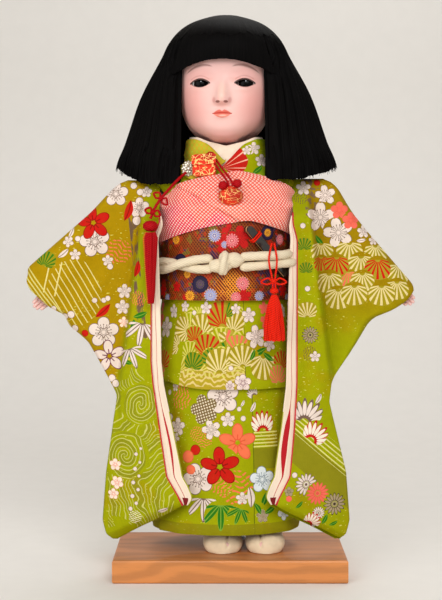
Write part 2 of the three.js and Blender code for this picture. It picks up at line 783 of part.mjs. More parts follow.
// Under-robe and kimono bodice: shells with a hole for each arm
function makeBodice() {
  const arm_hole = (side) =>
    mirrored(limb(ARM_PIVOT, vec(1, 0, 0), [[-34, ARM_RADIUS + 1.6], [30, ARM_RADIUS + 1.6]], 8), side);
  const shell = (levels, inner, outer) => cut(trunkShell(levels, inner, outer), arm_hole(1), arm_hole(-1));
  add("juban_bodice", shell(TRUNK_LEVELS, juban_out - JUBAN_CLOTH, juban_out), "white");
  add("kimono_bodice", shell(TRUNK_LEVELS.slice(1), -BODICE_CLOTH, 0), "green");
}

// Collars: a white inner collar, then the kimono's own, the doll's left side over its right
const HAN_ERI_CLOTH = 1;
const collar_in = 2 * COLLAR_GAP + HAN_ERI_CLOTH;
const collar_out = collar_in + COLLAR_CLOTH;

function makeCollars() {
  const edge = (rows) => steps(rows.map(([degrees, rise]) => [degrees, NECK_Z + rise]));
  const top = edge([[-40, -30], [-20, -15], [0, -3], [40, 9.5], [90, 13], [180, 8]]);
  const bottom = edge([[-40, -44], [0, -25], [40, -12], [90, -8], [180, -6]]);
  const flat = (offset) => () => offset;
  add(
    "han_eri",
    band({
      from: 4,
      to: 356,
      low: (d) => top(Math.min(d, 360 - d)) - 5,
      high: (d) => top(Math.min(d, 360 - d)) + 2.4,
      inner: flat(COLLAR_GAP),
      outer: flat(COLLAR_GAP + HAN_ERI_CLOTH),
      rows: 1,
    }),
    "white",
  );
  const over = { inner: flat(collar_in), outer: flat(collar_out), rows: 2 };
  add("kimono_collar_left", band({ from: -38, to: 179.4, low: bottom, high: top, ...over }), "green");
  const right_low = (d) => Math.max(bottom(d), top(-d) + 1.2);
  const right_high = (d) => Math.max(top(d), right_low(d) + 2);
  const right = band({ from: 1, to: 179.4, low: right_low, high: right_high, ...over });
  add("kimono_collar_right", mirrored(right, -1), "green");
}

// Skirt: one cloth wrapped round once and a quarter, its free edge at the doll's right front
const skirtForm = profile([
  [HEM_Z, 57.5, 42],
  [HEM_Z + 44, 56.5, 42],
  [TUCK_Z, 51.5, 40.3],
  [TUCK_Z + 31, 47.8, 38.6],
  [SKIRT_TOP, trunk(SKIRT_TOP)[0] + skirt_out, trunk(SKIRT_TOP)[1] + skirt_out],
]);
const WRAP_FROM = -60; // free edge, in degrees from the front
const WRAP_TO = 405; // the other edge, under the front

function makeSkirt() {
  const levels = [HEM_Z, HEM_Z + 5, HEM_Z + 11, HEM_Z + 50, TUCK_Z - 10, TUCK_Z + 31, SKIRT_TOP];
  const face = (inside) =>
    levels.map((z) =>
      corners(WRAP_FROM, WRAP_TO).map((degrees) => {
        const [a, b] = skirtForm(z);
        const over = (SKIRT_CLOTH + CLEARANCE) * (1 - smoothstep(58, 84, degrees));
        const padded = 1.4 * bump(z - HEM_Z - 4, 5) * (1 - smoothstep(360, 372, degrees));
        const offset = over + (inside ? -SKIRT_CLOTH : padded);
        return vec((a + offset) * Math.sin(rad(degrees)), -(b + offset) * Math.cos(rad(degrees)), z);
      }),
    );
  add("kimono_skirt", cloth(face(false), face(true)), "green");
  const tuckForm = profile([
    [TUCK_Z, 57, 46],
    [TUCK_Z + 8, 57, 46],
    [TUCK_Z + 36, 54, 44],
    [OBI_Z - 2, trunk(OBI_Z)[0] + tuck_out, trunk(OBI_Z)[1] + tuck_out],
    [OBI_Z, trunk(OBI_Z)[0] + tuck_out, trunk(OBI_Z)[1] + tuck_out],
    [SKIRT_TOP, trunk(SKIRT_TOP)[0] + tuck_out, trunk(SKIRT_TOP)[1] + tuck_out],
  ]);
  const tuck_levels = [TUCK_Z, TUCK_Z + 3, TUCK_Z + 12, TUCK_Z + 36, OBI_Z - 2, SKIRT_TOP];
  const tuck_rings = (offset) =>
    tuck_levels.map((z) => {
      const [a, b] = tuckForm(z);
      return oval(z, a + offset, b + offset);
    });
  add("kimono_tuck", tubeWall(tuck_rings(0), tuck_rings(-TUCK_CLOTH)), "green");
}

// Sleeves: each a folded cloth bag, open towards the body, with a white inner sleeve showing
const sleeveOut = steps([
  [9, 88], [13, 94], [24, 97], [62, 94], [125, 87], [150, 104], [174, 119],
  [187, 139], [194, 149], [221, 152], [257, 113], [280, 87], [285, 74], [286, 68],
]);
const sleeveIn = steps([
  [9, 86], [20, 68], [30, 50], [40, 33], [62, 46.5], [80, 49.5], [133, 58.4], [150, 60.2],
  [274, 60.2], [286, 61.8],
]);
const sleeveCrease = steps([[125, 86], [200, 76], [265, 68]]);
const WING_HALF = 12.6; // half the thickness of the sleeve round the arm
const INNER_HALF = 1.4; // half the thickness of the flattened inner sleeve
const INNER_SHOWS = 5; // how far the white inner sleeve shows past the open edge

const bagBack = (x) => -44.2 + 0.45 * (x - 32);
const wingMiddle = (x) => ARM_PIVOT.y + ((x - ARM_PIVOT.x) * along_arm.y) / along_arm.x;

function sleeveBack(x, z) {
  return lerp(bagBack(x), wingMiddle(x) + WING_HALF, smoothstep(112, 205, z));
}

function sleeveFront(x, z) {
  const full = lerp(8.6, 12, smoothstep(0, 16, x - sleeveIn(z)));
  const bag = bagBack(x) - full;
  const wing = Math.min(wingMiddle(x) - WING_HALF, sleeveBack(x, z) - 7);
  const on_bag = smoothstep(sleeveCrease(z) + 1, sleeveCrease(z) - 5, x) * smoothstep(282, 258, z);
  return lerp(wing, bag, z < 125 ? 1 : on_bag);
}

// The back layer starts farther out beside the sash, to leave room for the sash cord.
// Above the sash it is sewn to the bodice behind the arm.
function backIn(z) {
  if (z < OBI_TOP) return sleeveIn(z) + 6 * smoothstep(130, 160, z);
  const [a, b] = trunk(z);
  const depth = wingMiddle(a) + WING_HALF - SLEEVE_CLOTH;
  const seam = a * Math.sqrt(1 - (depth / b) ** 2) + CLEARANCE;
  return lerp(seam, sleeveIn(z), smoothstep(ARM_PIVOT.z + 2, SHOULDER_Z - 2, z));
}

// Columns of the front layer: the open edge, the swell of the bag, the crease, the fold at the end.
function frontColumns(z, inner_x, outer_x) {
  const room = outer_x - inner_x;
  const crease = clamp(sleeveCrease(z), inner_x + Math.min(8, room * 0.3), outer_x - room * 0.2);
  const first = Math.min(inner_x + 5, lerp(inner_x, crease, 0.3));
  const second = lerp(inner_x, crease - 5, 0.75);
  return [inner_x, first, second, Math.max(crease - 5, second + 0.2), Math.max(crease + 1, second + 0.4)];
}

// Both layers of a sleeve at one height, from the front edge round the end fold to the back edge.
function sleeveLine(z, inset) {
  const [inner_x, outer_x] = [sleeveIn(z), sleeveOut(z)];
  const end = outer_x - inset;
  const front = frontColumns(z, inner_x, outer_x).map((x) => vec(x, sleeveFront(x, z) + inset, z));
  const near = lerp(front[4].x, end, 0.8);
  const [a, b] = [sleeveFront(near, z) + inset, sleeveBack(near, z) - inset];
  const [tip_a, tip_b] = [0.36, 0.64].map((t) => lerp(sleeveFront(end, z), sleeveBack(end, z), t));
  const back_start = Math.min(backIn(z), lerp(inner_x, near, 0.5));
  const back = [0.72, 0.36, 0].map((t) => {
    const x = lerp(back_start, near, t);
    return vec(x, sleeveBack(x, z) - inset, z);
  });
  return [...front, vec(near, a, z), vec(end, tip_a, z), vec(end, tip_b, z), vec(near, b, z), ...back];
}

// The inner sleeve's cloth lies inside the bag and shows past its open edge.
function innerLine(z, inset) {
  const [inner_x, outer_x] = [sleeveIn(z), sleeveOut(z)];
  const columns = frontColumns(z, inner_x, outer_x);
  const start = inner_x - INNER_SHOWS;
  const slope = sleeveFront(columns[0] + 1, z) - sleeveFront(columns[0], z);
  const front = [start, ...columns.slice(0, 3)].map((x) => {
    const beyond = Math.min(x - inner_x, 0) * Math.min(slope, 0.45);
    return vec(x, sleeveFront(Math.max(x, inner_x), z) + beyond + inset, z);
  });
  const extra = inset - SLEEVE_CLOTH - CLEARANCE;
  front[3].lerp(front[2], extra / (columns[2] - columns[1]));
  const apart = 2 * INNER_HALF - 2 * extra;
  const back = front.slice().reverse().map((p) => vec(p.x, p.y + apart, z));
  return [...front, ...back];
}

function makeSleeves() {
  const levels = [9.6, 16, 28, 40, 62, 95, 126, 150, 174, 188, 200, 221, 240, 258, 267, 274, 285.6];
  const hand_hole = ellipsoid(HAND_POINT.clone().addScaledVector(along_arm, -2), 17, 9, 14, 12, 8);
  addPair("sleeve", "green", (side) => {
    const face = (inset) => levels.map((z) => sleeveLine(z, inset));
    return mirrored(cut(cloth(face(0), face(SLEEVE_CLOTH)), hand_hole), side);
  });
  const inner_levels = levels.filter((z) => z >= 40 && z <= 240);
  const inset = SLEEVE_CLOTH + CLEARANCE;
  addPair("juban_sleeve", "white", (side) => {
    const face = (extra) => inner_levels.map((z) => innerLine(z, inset + extra));
    return mirrored(cloth(face(0), face(JUBAN_CLOTH * 0.6)), side);
  });
}

// Sash: the wrapped band, its inner padding and card, and the bow at the back
function makeObi() {
  const levels = [OBI_Z + 1, CHEST_Z, OBI_TOP];
  add("obi", trunkShell(levels, obi_in, obi_out), "brocade");
  const inside = [SKIRT_TOP + CLEARANCE, CHEST_Z, OBI_TOP - 2];
  const board_in = obi_in - CLEARANCE - 1;
  add("under_sash", trunkShell(inside, 2 * CLEARANCE, board_in - CLEARANCE), "calico");
  const flat = (offset) => () => offset;
  add(
    "obi_board",
    band({
      from: -60,
      to: 60,
      low: () => inside[0],
      high: () => CHEST_Z,
      inner: flat(board_in),
      outer: flat(board_in + 0.9),
      rows: 1,
    }),
    "card",
  );
  const back = trunk(CHEST_Z)[1] + obi_out;
  const pillow = ellipsoid(vec(0, back - 4, OBI_TOP + 8), 27, 8, 7, 16, 8);
  const shelf = trunkShell([OBI_TOP - 5, OBI_TOP + 5, OBI_TOP + 10, OBI_TOP + 20], -12, CLEARANCE);
  const below = trunkShell([OBI_TOP - 8, OBI_TOP + CLEARANCE], obi_in, obi_out + 20);
  add("obi_pillow", cut(pillow, shelf, below), "calico");

  const bow_y = back + 14;
  const bow_z = OBI_Z + OBI_HEIGHT * 0.8;
  const loop = profile([
    [0, 9, 6],
    [0.2, 15, 8],
    [0.55, 24, 9.5],
    [0.85, 25, 8.5],
    [1, 21, 4.5],
  ]);
  addPair("obi_bow_loop", "brocade", (side) => {
    const rings = span(6).map((t) => {
      const [high, deep] = loop(t);
      const x = lerp(10.5, 56, t);
      return span(14)
        .slice(0, -1)
        .map((s) => {
          const angle = s * 2 * Math.PI;
          const fold = 1 - 0.25 * bump(Math.cos(angle), 0.45) * t;
          const z = bow_z - 9 * t * t + high * Math.cos(angle);
          return vec(x, bow_y + 2 * t + deep * fold * Math.sin(angle), z);
        });
    });
    return mirrored(loft(rings), side);
  });
  add("obi_bow_knot", ellipsoid(vec(0, bow_y, bow_z), 10, 13.4, 12.6, 14, 10), "brocade");
}

// Scarf over the sash's top edge, its two halves meeting on a slant
function makeObiage() {
  const edge_gap = 0.5;
  const slant = (z) => lerp(4, -36, (z - (OBI_TOP - 6)) / 38);
  const edge = (rows) => steps(rows.map(([degrees, rise]) => [degrees, OBI_TOP + rise]));
  const low = edge([[-82, -26], [-52, -20], [-8, -5], [12, -3.5], [40, -14], [82, -23]]);
  const high = edge([[-82, 12], [-50, 13], [-24, 25], [14, 30], [45, 14], [82, 12]]);
  const rest = (z) => lerp(obi_out - 0.4, collar_out, smoothstep(OBI_TOP + 6, OBI_TOP + 14, z)) + 1.6;
  const puff = (v) => SCARF_CLOTH * Math.sqrt(clamp(4 * v * (1 - v), 0.12, 1));
  const half = (from, to, sign, thicker) => {
    const face = (outside) =>
      span(6).map((v) =>
        span(12).map((u) => {
          let degrees = lerp(from, to, u);
          let z = lerp(low(degrees), high(degrees), v);
          const limit = slant(z) + sign * edge_gap;
          degrees = sign > 0 ? lerp(limit, to, u) : lerp(from, limit, u);
          z = lerp(low(degrees), high(degrees), v);
          const offset = rest(z) + (outside ? puff(v) + thicker : 0);
          return onTrunk(rad(degrees), z, offset);
        }),
      );
    return cloth(face(true), face(false));
  };
  add("obiage_left", half(-36, 66, 1, 1.2), "pink");
  add("obiage_right", half(-66, 4, -1, 0), "pink");
}

// Sash cord: two padded strands round the sash and the knot that joins them in front
const FAN_ANGLE = 32; // where the fan passes under the cord, in degrees
const obijime_middle = obi_out + 3 * CLEARANCE + OBIJIME_RADIUS;

// How far a strand stands off to pass over the fan.
const overFan = (degrees, lift) =>
  (2 * FAN_STICK + FAN_RIBS + 3.8) * bump(degrees - FAN_ANGLE - (lift > 0 ? 6 : 12), 14);

function makeObijime() {
  const knot_half = 13; // degrees
  const strand = (lift, sag) => {
    const points = span(34).map((t) => {
      const degrees = lerp(knot_half, 360 - knot_half, t);
      const z = OBIJIME_Z + lift + sag * Math.sin(rad(degrees));
      return onTrunk(rad(degrees), z, obijime_middle + overFan(degrees, lift));
    });
    return tube(points, OBIJIME_RADIUS, 34, 6);
  };
  add("obijime_upper", strand(OBIJIME_RADIUS + 0.3, 3.2), "cream");
  add("obijime_lower", strand(-OBIJIME_RADIUS - 0.3, 3.2), "cream");
  const centre = onTrunk(0, OBIJIME_Z, obi_out + OBIJIME_RADIUS * 1.6);
  const reach = onTrunk(rad(knot_half), OBIJIME_Z, obi_out + OBIJIME_RADIUS).x;
  const lobes = [-1, 1].map((side) =>
    ellipsoid(centre.clone().add(vec(side * 4, 0.5, side * 2.5)), reach - 4.6, 5, 6.2, 8, 6),
  );
  const wrap = ellipsoid(centre.clone().add(vec(-1.5, -1, 0)), 5, 5.6, 10, 8, 6);
  add("obijime_knot", join(...lobes, wrap), "cream");
}

// Folding fan tucked flat between sash and cord
function makeFan() {
  const foot = onTrunk(rad(FAN_ANGLE), OBIJIME_Z + 9.5, obi_out);
  const [a, b] = trunk(OBIJIME_Z + 9.5).map((v) => v + obi_out);
  const tangent = vec(a * Math.cos(rad(FAN_ANGLE)), b * Math.sin(rad(FAN_ANGLE)), 0).normalize();
  const along = tangent.clone().multiplyScalar(-0.7).add(vec(0, 0, 0.714)).normalize();
  const outward = tangent.clone().cross(vec(0, 0, 1)).normalize();
  const across = outward.clone().cross(along);
  const seat = new THREE.Matrix4().makeBasis(along, across, outward).setPosition(foot);
  const stick = (low, thick, tip) => {
    const outline = new THREE.Shape();
    const [h, w] = [FAN_LENGTH / 2, FAN_WIDTH / 2];
    outline.moveTo(-h, -w * 0.8).lineTo(h - 2, -w * tip).quadraticCurveTo(h + 1.5, 0, h - 2, w * tip);
    outline.lineTo(-h, w * 0.8).closePath();
    const slab = new THREE.ExtrudeGeometry(outline, { depth: thick, bevelEnabled: false, curveSegments: 4 });
    return slab.translate(0, 0, low).applyMatrix4(seat);
  };
  const gap = 0.3;
  const start = CLEARANCE + 0.2;
  add("fan_guard_back", stick(start, FAN_STICK, 0.62), "lacquer");
  const ribs_low = start + FAN_STICK + gap;
  const rivet = (grow) =>
    new THREE.CylinderGeometry(1 + grow, 1 + grow, FAN_RIBS + 0.8 + 2 * grow, 10)
      .rotateX(Math.PI / 2)
      .translate(FAN_LENGTH / 2 - 4, 0, ribs_low + FAN_RIBS / 2)
      .applyMatrix4(seat);
  add("fan_ribs", cut(stick(ribs_low, FAN_RIBS - 0.6, 0.55), rivet(gap)), "card");
  add("fan_guard_front", cut(stick(ribs_low + FAN_RIBS - 0.6 + gap, FAN_STICK, 0.62), rivet(gap)), "lacquer");
  add("fan_rivet", cut(rivet(0), stick(start - 1, FAN_STICK + 1 + gap, 1)), "steel");
}

// Hanging pieces
// The skirt's shape is rows of [radius, share of the length], from its ends up to its head.
function tassel(at, length, head, shape) {
  const skirt = turned(shape.map(([radius, share]) => [radius, share * length]));
  skirt.translate(at.x, at.y, at.z - length);
  const knot = ellipsoid(vec(at.x, at.y, at.z + head * 0.75 + CLEARANCE), head, head, head * 0.75, 10, 6);
  return [skirt, knot];
}

// The fan's cord comes over the sash cord and lies against its front.
const FAN_CORD_ANGLE = 30; // in degrees
const sash_cord_front = obijime_middle + overFan(FAN_CORD_ANGLE, 1) + OBIJIME_RADIUS;
const fan_cord_top = onTrunk(rad(FAN_CORD_ANGLE), OBIJIME_Z + 15, sash_cord_front);
fan_cord_top.y -= CORD_RADIUS + CLEARANCE;

function makeFanTassel() {
  const head = 3.4;
  const top = fan_cord_top;
  const tassel_top = vec(top.x + 1, top.y, top.z - 39);
  const flared = [
    [6, 0],
    [8.4, 0.01],
    [7.9, 0.35],
    [5, 0.8],
    [2.1, 1],
  ];
  const [skirt, knot] = tassel(tassel_top, TASSEL_LENGTH, head, flared);
  const bow_z = tassel_top.z + head * 1.5 + 5;
  const drop = tassel_top.z + head * 1.5 + 2 * CLEARANCE;
  const at = (x, z, y = 0) => vec(top.x + x, top.y + y, z);
  const strand = (side) => {
    const route = [
      at(side * 0.4, top.z),
      at(side * 2.6, top.z - 14),
      at(0.6 + side * 0.5, bow_z),
      at(1 + side * 0.3, drop),
    ];
    return tube(route, CORD_RADIUS, 6, 5);
  };
  const bow = (side) => {
    const route = [
      at(0.6, bow_z),
      at(side * 5, bow_z + 2.4, -0.6),
      at(side * 9.5, bow_z - 0.6 * side),
      at(side * 5, bow_z - 2.2, 0.4),
      at(0.6, bow_z),
    ];
    return tube(route, CORD_RADIUS, 8, 5);
  };
  const tie = ellipsoid(at(0.6, bow_z), 2, 1.8, 1.8, 7, 5);
  add("fan_cord", join(strand(1), strand(-1), bow(1), bow(-1), tie), "orange");
  add("fan_tassel_head", knot, "orange");
  add("fan_tassel", skirt, "orange");
}

const WALLET_ANGLE = -20; // in degrees
const WALLET_WIDTH = 18.5;
const WALLET_HEIGHT = 17;
const WALLET_THICKNESS = 4.5;
const WALLET_BACK = 1.15; // how far it sinks back between the collars

function makeWallet() {
  const anchor = onTrunk(rad(WALLET_ANGLE), NECK_Z - 12, collar_out + WALLET_THICKNESS / 2);
  const centre = vec(anchor.x + 2, anchor.y + WALLET_BACK, anchor.z + 6);
  const turn = new THREE.Matrix4().makeRotationFromEuler(new THREE.Euler(rad(-24), 0, rad(WALLET_ANGLE * 0.5)));
  const place = (geometry) => geometry.applyMatrix4(turn).translate(centre.x, centre.y, centre.z);
  add("wallet_case", place(new THREE.BoxGeometry(WALLET_WIDTH, WALLET_THICKNESS, WALLET_HEIGHT)), "gold_red");
  const flap_cloth = 1.2;
  const flap = new THREE.BoxGeometry(WALLET_WIDTH + 0.6, flap_cloth, WALLET_HEIGHT * 0.53);
  flap.translate(0, -(WALLET_THICKNESS + flap_cloth) / 2 - CLEARANCE, WALLET_HEIGHT * 0.26);
  add("wallet_flap", place(flap), "gold_red");
}

function makePouch() {
  const centre = vec(3, onTrunk(0, OBI_TOP + 18, 0).y - SCARF_CLOTH - 14.4, OBI_TOP + 17);
  const deep = 5;
  const bag = ellipsoid(centre, POUCH_WIDTH / 2 + 1.5, deep, POUCH_WIDTH / 2, 14, 10);
  add("pouch", bag, "gold_red");
  const knots = [1, -1].map((side) =>
    ellipsoid(centre.clone().add(vec(side * 3.4, 0, POUCH_WIDTH / 2 + 4.2)), 3.6, 3.6, 3.6, 8, 6),
  );
  const thick = 1.3;
  const top = onTrunk(rad(-6), NECK_Z - 3.5, collar_out + thick + CLEARANCE);
  const low = centre.clone().add(vec(0, 0, POUCH_WIDTH / 2 + 1));
  const middle = low.clone().lerp(top, 0.5).add(vec(0, -1, 1));
  add("pouch_cord", join(tube([top, middle, low], thick, 4, 6), ...knots), "crimson");
}

function makeSideTassel() {
  const top = vec(-57.5, -49, NECK_Z - 57);
  const gathered = [
    [1.6, 0],
    [2.1, 0.01],
    [3.3, 0.4],
    [4.6, 0.8],
    [5, 0.93],
    [3.7, 1],
  ];
  const [skirt, knot] = tassel(top, SIDE_TASSEL_LENGTH, 6, gathered);
  add("side_tassel", skirt, "crimson");
  add("side_tassel_head", knot, "crimson");
  const knot_top = top.z + 6 * 1.5 + 3 * CLEARANCE;
  const thick = 1.2;
  const route = [
    onTrunk(rad(-40), SHOULDER_Z - 2.5, CLEARANCE),
    vec(-42, -36, SHOULDER_Z - 4.6),
    vec(-48.5, -45, SHOULDER_Z - 11),
    vec(-54.5, -48.5, SHOULDER_Z - 20),
    vec(top.x, top.y, knot_top),
  ];
  add("side_cord", tube(route, thick, 12, 8), "crimson");
}

makeStand();
makeTorso();
makeHead();
makeHair();
makeArms();
makeLegs();
makeBodice();
makeCollars();
makeSkirt();
makeSleeves();
makeObi();
makeObiage();
makeObijime();
makeFan();
makeFanTassel();
makeWallet();
makePouch();
makeSideTassel();

export default part;
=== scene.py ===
"""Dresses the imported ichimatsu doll: skin, hair, cloth, cords and the studio round it."""

import math

import bpy
import numpy as np
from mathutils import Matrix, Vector


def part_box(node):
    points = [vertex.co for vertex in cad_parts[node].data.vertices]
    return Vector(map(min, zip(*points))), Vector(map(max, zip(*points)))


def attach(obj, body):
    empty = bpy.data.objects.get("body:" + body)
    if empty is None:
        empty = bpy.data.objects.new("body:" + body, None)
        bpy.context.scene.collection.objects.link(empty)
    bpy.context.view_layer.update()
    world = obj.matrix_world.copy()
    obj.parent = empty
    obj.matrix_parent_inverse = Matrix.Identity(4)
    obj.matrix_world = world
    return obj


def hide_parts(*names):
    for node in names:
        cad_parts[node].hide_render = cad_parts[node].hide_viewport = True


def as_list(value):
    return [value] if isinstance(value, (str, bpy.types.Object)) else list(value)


bl_info = {
    "name": "Ichimatsu Doll Looks",
    "version": (1, 0, 0),
    "blender": (4, 5, 0),
    "location": "View3D > Sidebar > Doll",
    "description": "Builds the doll's face, hair, clothes and cords round its packed model",
    "category": "Object",
}

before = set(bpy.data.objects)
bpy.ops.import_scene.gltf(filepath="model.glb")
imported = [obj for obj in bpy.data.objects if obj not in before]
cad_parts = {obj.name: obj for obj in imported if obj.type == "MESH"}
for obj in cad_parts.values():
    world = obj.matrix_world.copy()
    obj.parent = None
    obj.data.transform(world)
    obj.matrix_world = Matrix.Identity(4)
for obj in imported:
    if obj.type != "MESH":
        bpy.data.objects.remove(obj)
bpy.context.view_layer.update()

MM = 0.001
SIDES = ((1, "left"), (-1, "right"))
_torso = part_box("torso")
# The doll's own origin: the middle of its trunk, at the soles.
ORIGIN = np.array([
    (_torso[0].x + _torso[1].x) / 2, (_torso[0].y + _torso[1].y) / 2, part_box("tabi_left")[0].z
])

# Curves and numbers


def smoothstep(start, end, value):
    t = np.clip((np.asarray(value, float) - start) / (end - start), 0, 1)
    return t * t * (3 - 2 * t)


def bump(value, width):
    return np.exp(-np.square(np.asarray(value, float) / width))


def lerp(a, b, t):
    return a + (b - a) * t


def direction(vector):
    return vector / np.linalg.norm(vector)


def gaps(path):
    """Distances from each point of a path to the next."""
    return np.linalg.norm(np.diff(path, axis=0), axis=1)


def round_angles(count):
    return np.linspace(0, 2 * math.pi, count, endpoint=False)


def grid(columns, rows):
    """Two grids of shares, across and up."""
    return np.meshgrid(np.linspace(0, 1, columns), np.linspace(0, 1, rows))


def profile(rows):
    """A smooth curve through rows of (position, value, ...)."""
    rows = np.array(rows, float)
    at, values = rows[:, 0], rows[:, 1:]
    last = len(rows) - 1

    def curve(where):
        where = np.clip(np.asarray(where, float), at[0], at[-1])
        i = np.clip(np.searchsorted(at, where) - 1, 0, last - 1)
        before, after = np.maximum(i - 1, 0), np.minimum(i + 2, last)
        h = (at[i + 1] - at[i])[..., None]
        t = (where - at[i])[..., None] / h
        rise = (values[i + 1] - values[before]) / (at[i + 1] - at[before])[..., None] * h
        fall = (values[after] - values[i]) / (at[after] - at[i])[..., None] * h
        t2, t3 = t * t, t * t * t
        out = (2 * t3 - 3 * t2 + 1) * values[i] + (t3 - 2 * t2 + t) * rise
        return np.moveaxis(out + (3 * t2 - 2 * t3) * values[i + 1] + (t3 - t2) * fall, -1, 0)

    return curve


def steps(rows, soften=0.0):
    """Straight lines through rows of (position, value), with softened corners."""
    at, values = np.array(rows, float).T
    shifts = (-1, -0.5, 0, 0.5, 1)
    return lambda where: sum(np.interp(where + s * soften, at, values) for s in shifts) / len(shifts)


def path_through(points, count):
    """Points on a smooth path through the given ones."""
    points = np.array(points, float)
    at = np.concatenate([[0], np.cumsum(gaps(points))])
    curve = profile(np.column_stack([at, points]))
    return np.stack(curve(np.linspace(0, at[-1], count)), -1)


def turn_z(points, degrees, x=0.0, y=0.0):
    """Points turned round an upright axis."""
    c, s = math.cos(math.radians(degrees)), math.sin(math.radians(degrees))
    out = np.array(points, float)
    px, py = out[..., 0] - x, out[..., 1] - y
    out[..., 0], out[..., 1] = x + c * px - s * py, y + s * px + c * py
    return out


def rotate(points, x=0.0, y=0.0, z=0.0):
    """Points turned about the three axes in turn, Z first, in degrees."""
    out = turn_z(points, z)
    c, s = math.cos(math.radians(y)), math.sin(math.radians(y))
    out = out @ np.array([[c, 0, -s], [0, 1, 0], [s, 0, c]])
    c, s = math.cos(math.radians(x)), math.sin(math.radians(x))
    return out @ np.array([[1, 0, 0], [0, c, s], [0, -s, c]])


def mirrored(points):
    return np.asarray(points, float) * (-1, 1, 1)


# Meshes, in the doll's millimetres


def place(points):
    return np.asarray(points, float) * MM + ORIGIN


def piece(name, points, faces, finish, uv=None, sharp=45, flip=False):
    """A mesh object of the doll, smooth shaded, with no loose points."""
    used = sorted({i for face in faces for i in face})
    fresh = {old: new for new, old in enumerate(used)}
    faces = [[fresh[i] for i in (face[::-1] if flip else face)] for face in faces]
    mesh = bpy.data.meshes.new(name)
    mesh.from_pydata(place(np.asarray(points, float)[used]).tolist(), [], faces)
    if uv is not None:
        uv = np.asarray(uv, np.float32)
        if flip:
            ends = np.cumsum([0] + [len(f) for f in faces])
            uv = np.concatenate([uv[a:b][::-1] for a, b in zip(ends[:-1], ends[1:])])
        mesh.uv_layers.new(name="cut").data.foreach_set("uv", uv.ravel())
    mesh.shade_smooth()
    mesh.set_sharp_from_angle(angle=math.radians(sharp))
    mesh.materials.append(finish)
    item = bpy.data.objects.new(name, mesh)
    bpy.context.scene.collection.objects.link(item)
    return item


def settle(item, body, slot, *nodes):
    """Puts a piece on its body and hides the nodes of the imported model that it stands for. The slot is not
    used.
    """
    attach(item, body)
    if nodes:
        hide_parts(*nodes)
    return item


def fitted(name, form, finish, body, slot, *nodes, **look):
    """A piece from its points and faces, settled on its body."""
    return settle(piece(name, *form, finish, **look), body, slot, *nodes)


def corners(grid):
    """The four corners of every square of a grid."""
    return grid[:-1, :-1], grid[:-1, 1:], grid[1:, 1:], grid[1:, :-1]


def closed(grid):
    """A grid whose first column comes again at its end."""
    return np.concatenate([grid, grid[:, :1]], 1)


def cloth(name, outer, inner, uv, finish, around=False, keep=None, flip=False, sharp=45):
    """A cloth with two faces and a rim, from grids of points and of places on the cut."""
    rows, columns = outer.shape[:2]
    shift = rows * columns
    index = np.arange(shift).reshape(rows, columns)
    if around:
        index = closed(index)
    mark = np.arange(uv.shape[0] * uv.shape[1]).reshape(uv.shape[:2])
    high, wide = index.shape[0] - 1, index.shape[1] - 1
    keep = np.ones((high, wide), bool) if keep is None else keep
    (a, b, c, d), (ma, mb, mc, md) = corners(index), corners(mark)
    faces = [np.stack([a, b, c, d], -1)[keep], np.stack([a, d, c, b], -1)[keep] + shift]
    marks = [np.stack([ma, mb, mc, md], -1)[keep], np.stack([ma, md, mc, mb], -1)[keep]]
    beside = np.pad(keep, 1)
    if around:
        beside[1:-1, 0], beside[1:-1, -1] = keep[:, -1], keep[:, 0]
    rims = ((b, a, mb, ma, -1, 0), (d, c, md, mc, 1, 0), (a, d, ma, md, 0, -1), (c, b, mc, mb, 0, 1))
    for p, q, mp, mq, down, left in rims:
        edge = keep & ~beside[1 + down : 1 + down + high, 1 + left : 1 + left + wide]
        faces.append(np.stack([p, q, q + shift, p + shift], -1)[edge])
        marks.append(np.stack([mp, mq, mq, mp], -1)[edge])
    points = np.vstack([outer.reshape(-1, 3), inner.reshape(-1, 3)])
    places = uv.reshape(-1, 2)[np.concatenate(marks)].reshape(-1, 2) / 100
    return piece(name, points, np.concatenate(faces).tolist(), finish, places, sharp, flip)


def as_sheet(points, around=False):
    """Works out the size of a cloth's flat cut, measured on its outer grid, but keeps nothing."""
    if around:
        points = closed(points)
    across = np.linalg.norm(np.diff(points, axis=1), axis=2).sum(axis=1)
    up = np.linalg.norm(np.diff(points, axis=0), axis=2).sum(axis=0)
    a, b, c, d = corners(points)
    area = 0.5 * np.linalg.norm(np.cross(c - a, d - b), axis=2).sum()
    width, length = math.ceil(across.max()), math.ceil(up.max())
    area = min(max(area, 0.32 * width * length), width * length)


def skin_over(rings):
    """Points and faces of a closed skin over rings of points."""
    rings = np.asarray(rings, float)
    index = np.arange(rings.shape[0] * rings.shape[1]).reshape(rings.shape[:2])
    faces = np.stack(corners(closed(index)), -1).reshape(-1, 4).tolist()
    faces += [index[0][::-1].tolist(), index[-1].tolist()]
    return rings.reshape(-1, 3), faces


def rings_along(path, radius, sides=10, ridges=0, twist=0.0, depth=0.12):
    """Rings of a round tube on a path, with twisted ridges where asked."""
    path = np.asarray(path, float)
    radius = np.broadcast_to(np.asarray(radius, float), len(path))
    along = np.gradient(path, axis=0)
    along /= np.linalg.norm(along, axis=1)[:, None]
    side = direction(np.cross(along[0], (0.1, 0.2, 1)))
    run = np.concatenate([[0], np.cumsum(gaps(path))])
    angles = round_angles(sides)
    rings = []
    for point, ahead, reach, done in zip(path, along, radius, run):
        side = direction(side - ahead * side.dot(ahead))
        over = np.cross(ahead, side)
        wide = reach * (1 - depth + depth * np.cos(ridges * (angles - twist * done))) if ridges else reach
        wide = np.broadcast_to(wide, angles.shape)[:, None]
        rings.append(point + wide * (np.cos(angles)[:, None] * side + np.sin(angles)[:, None] * over))
    return np.array(rings)


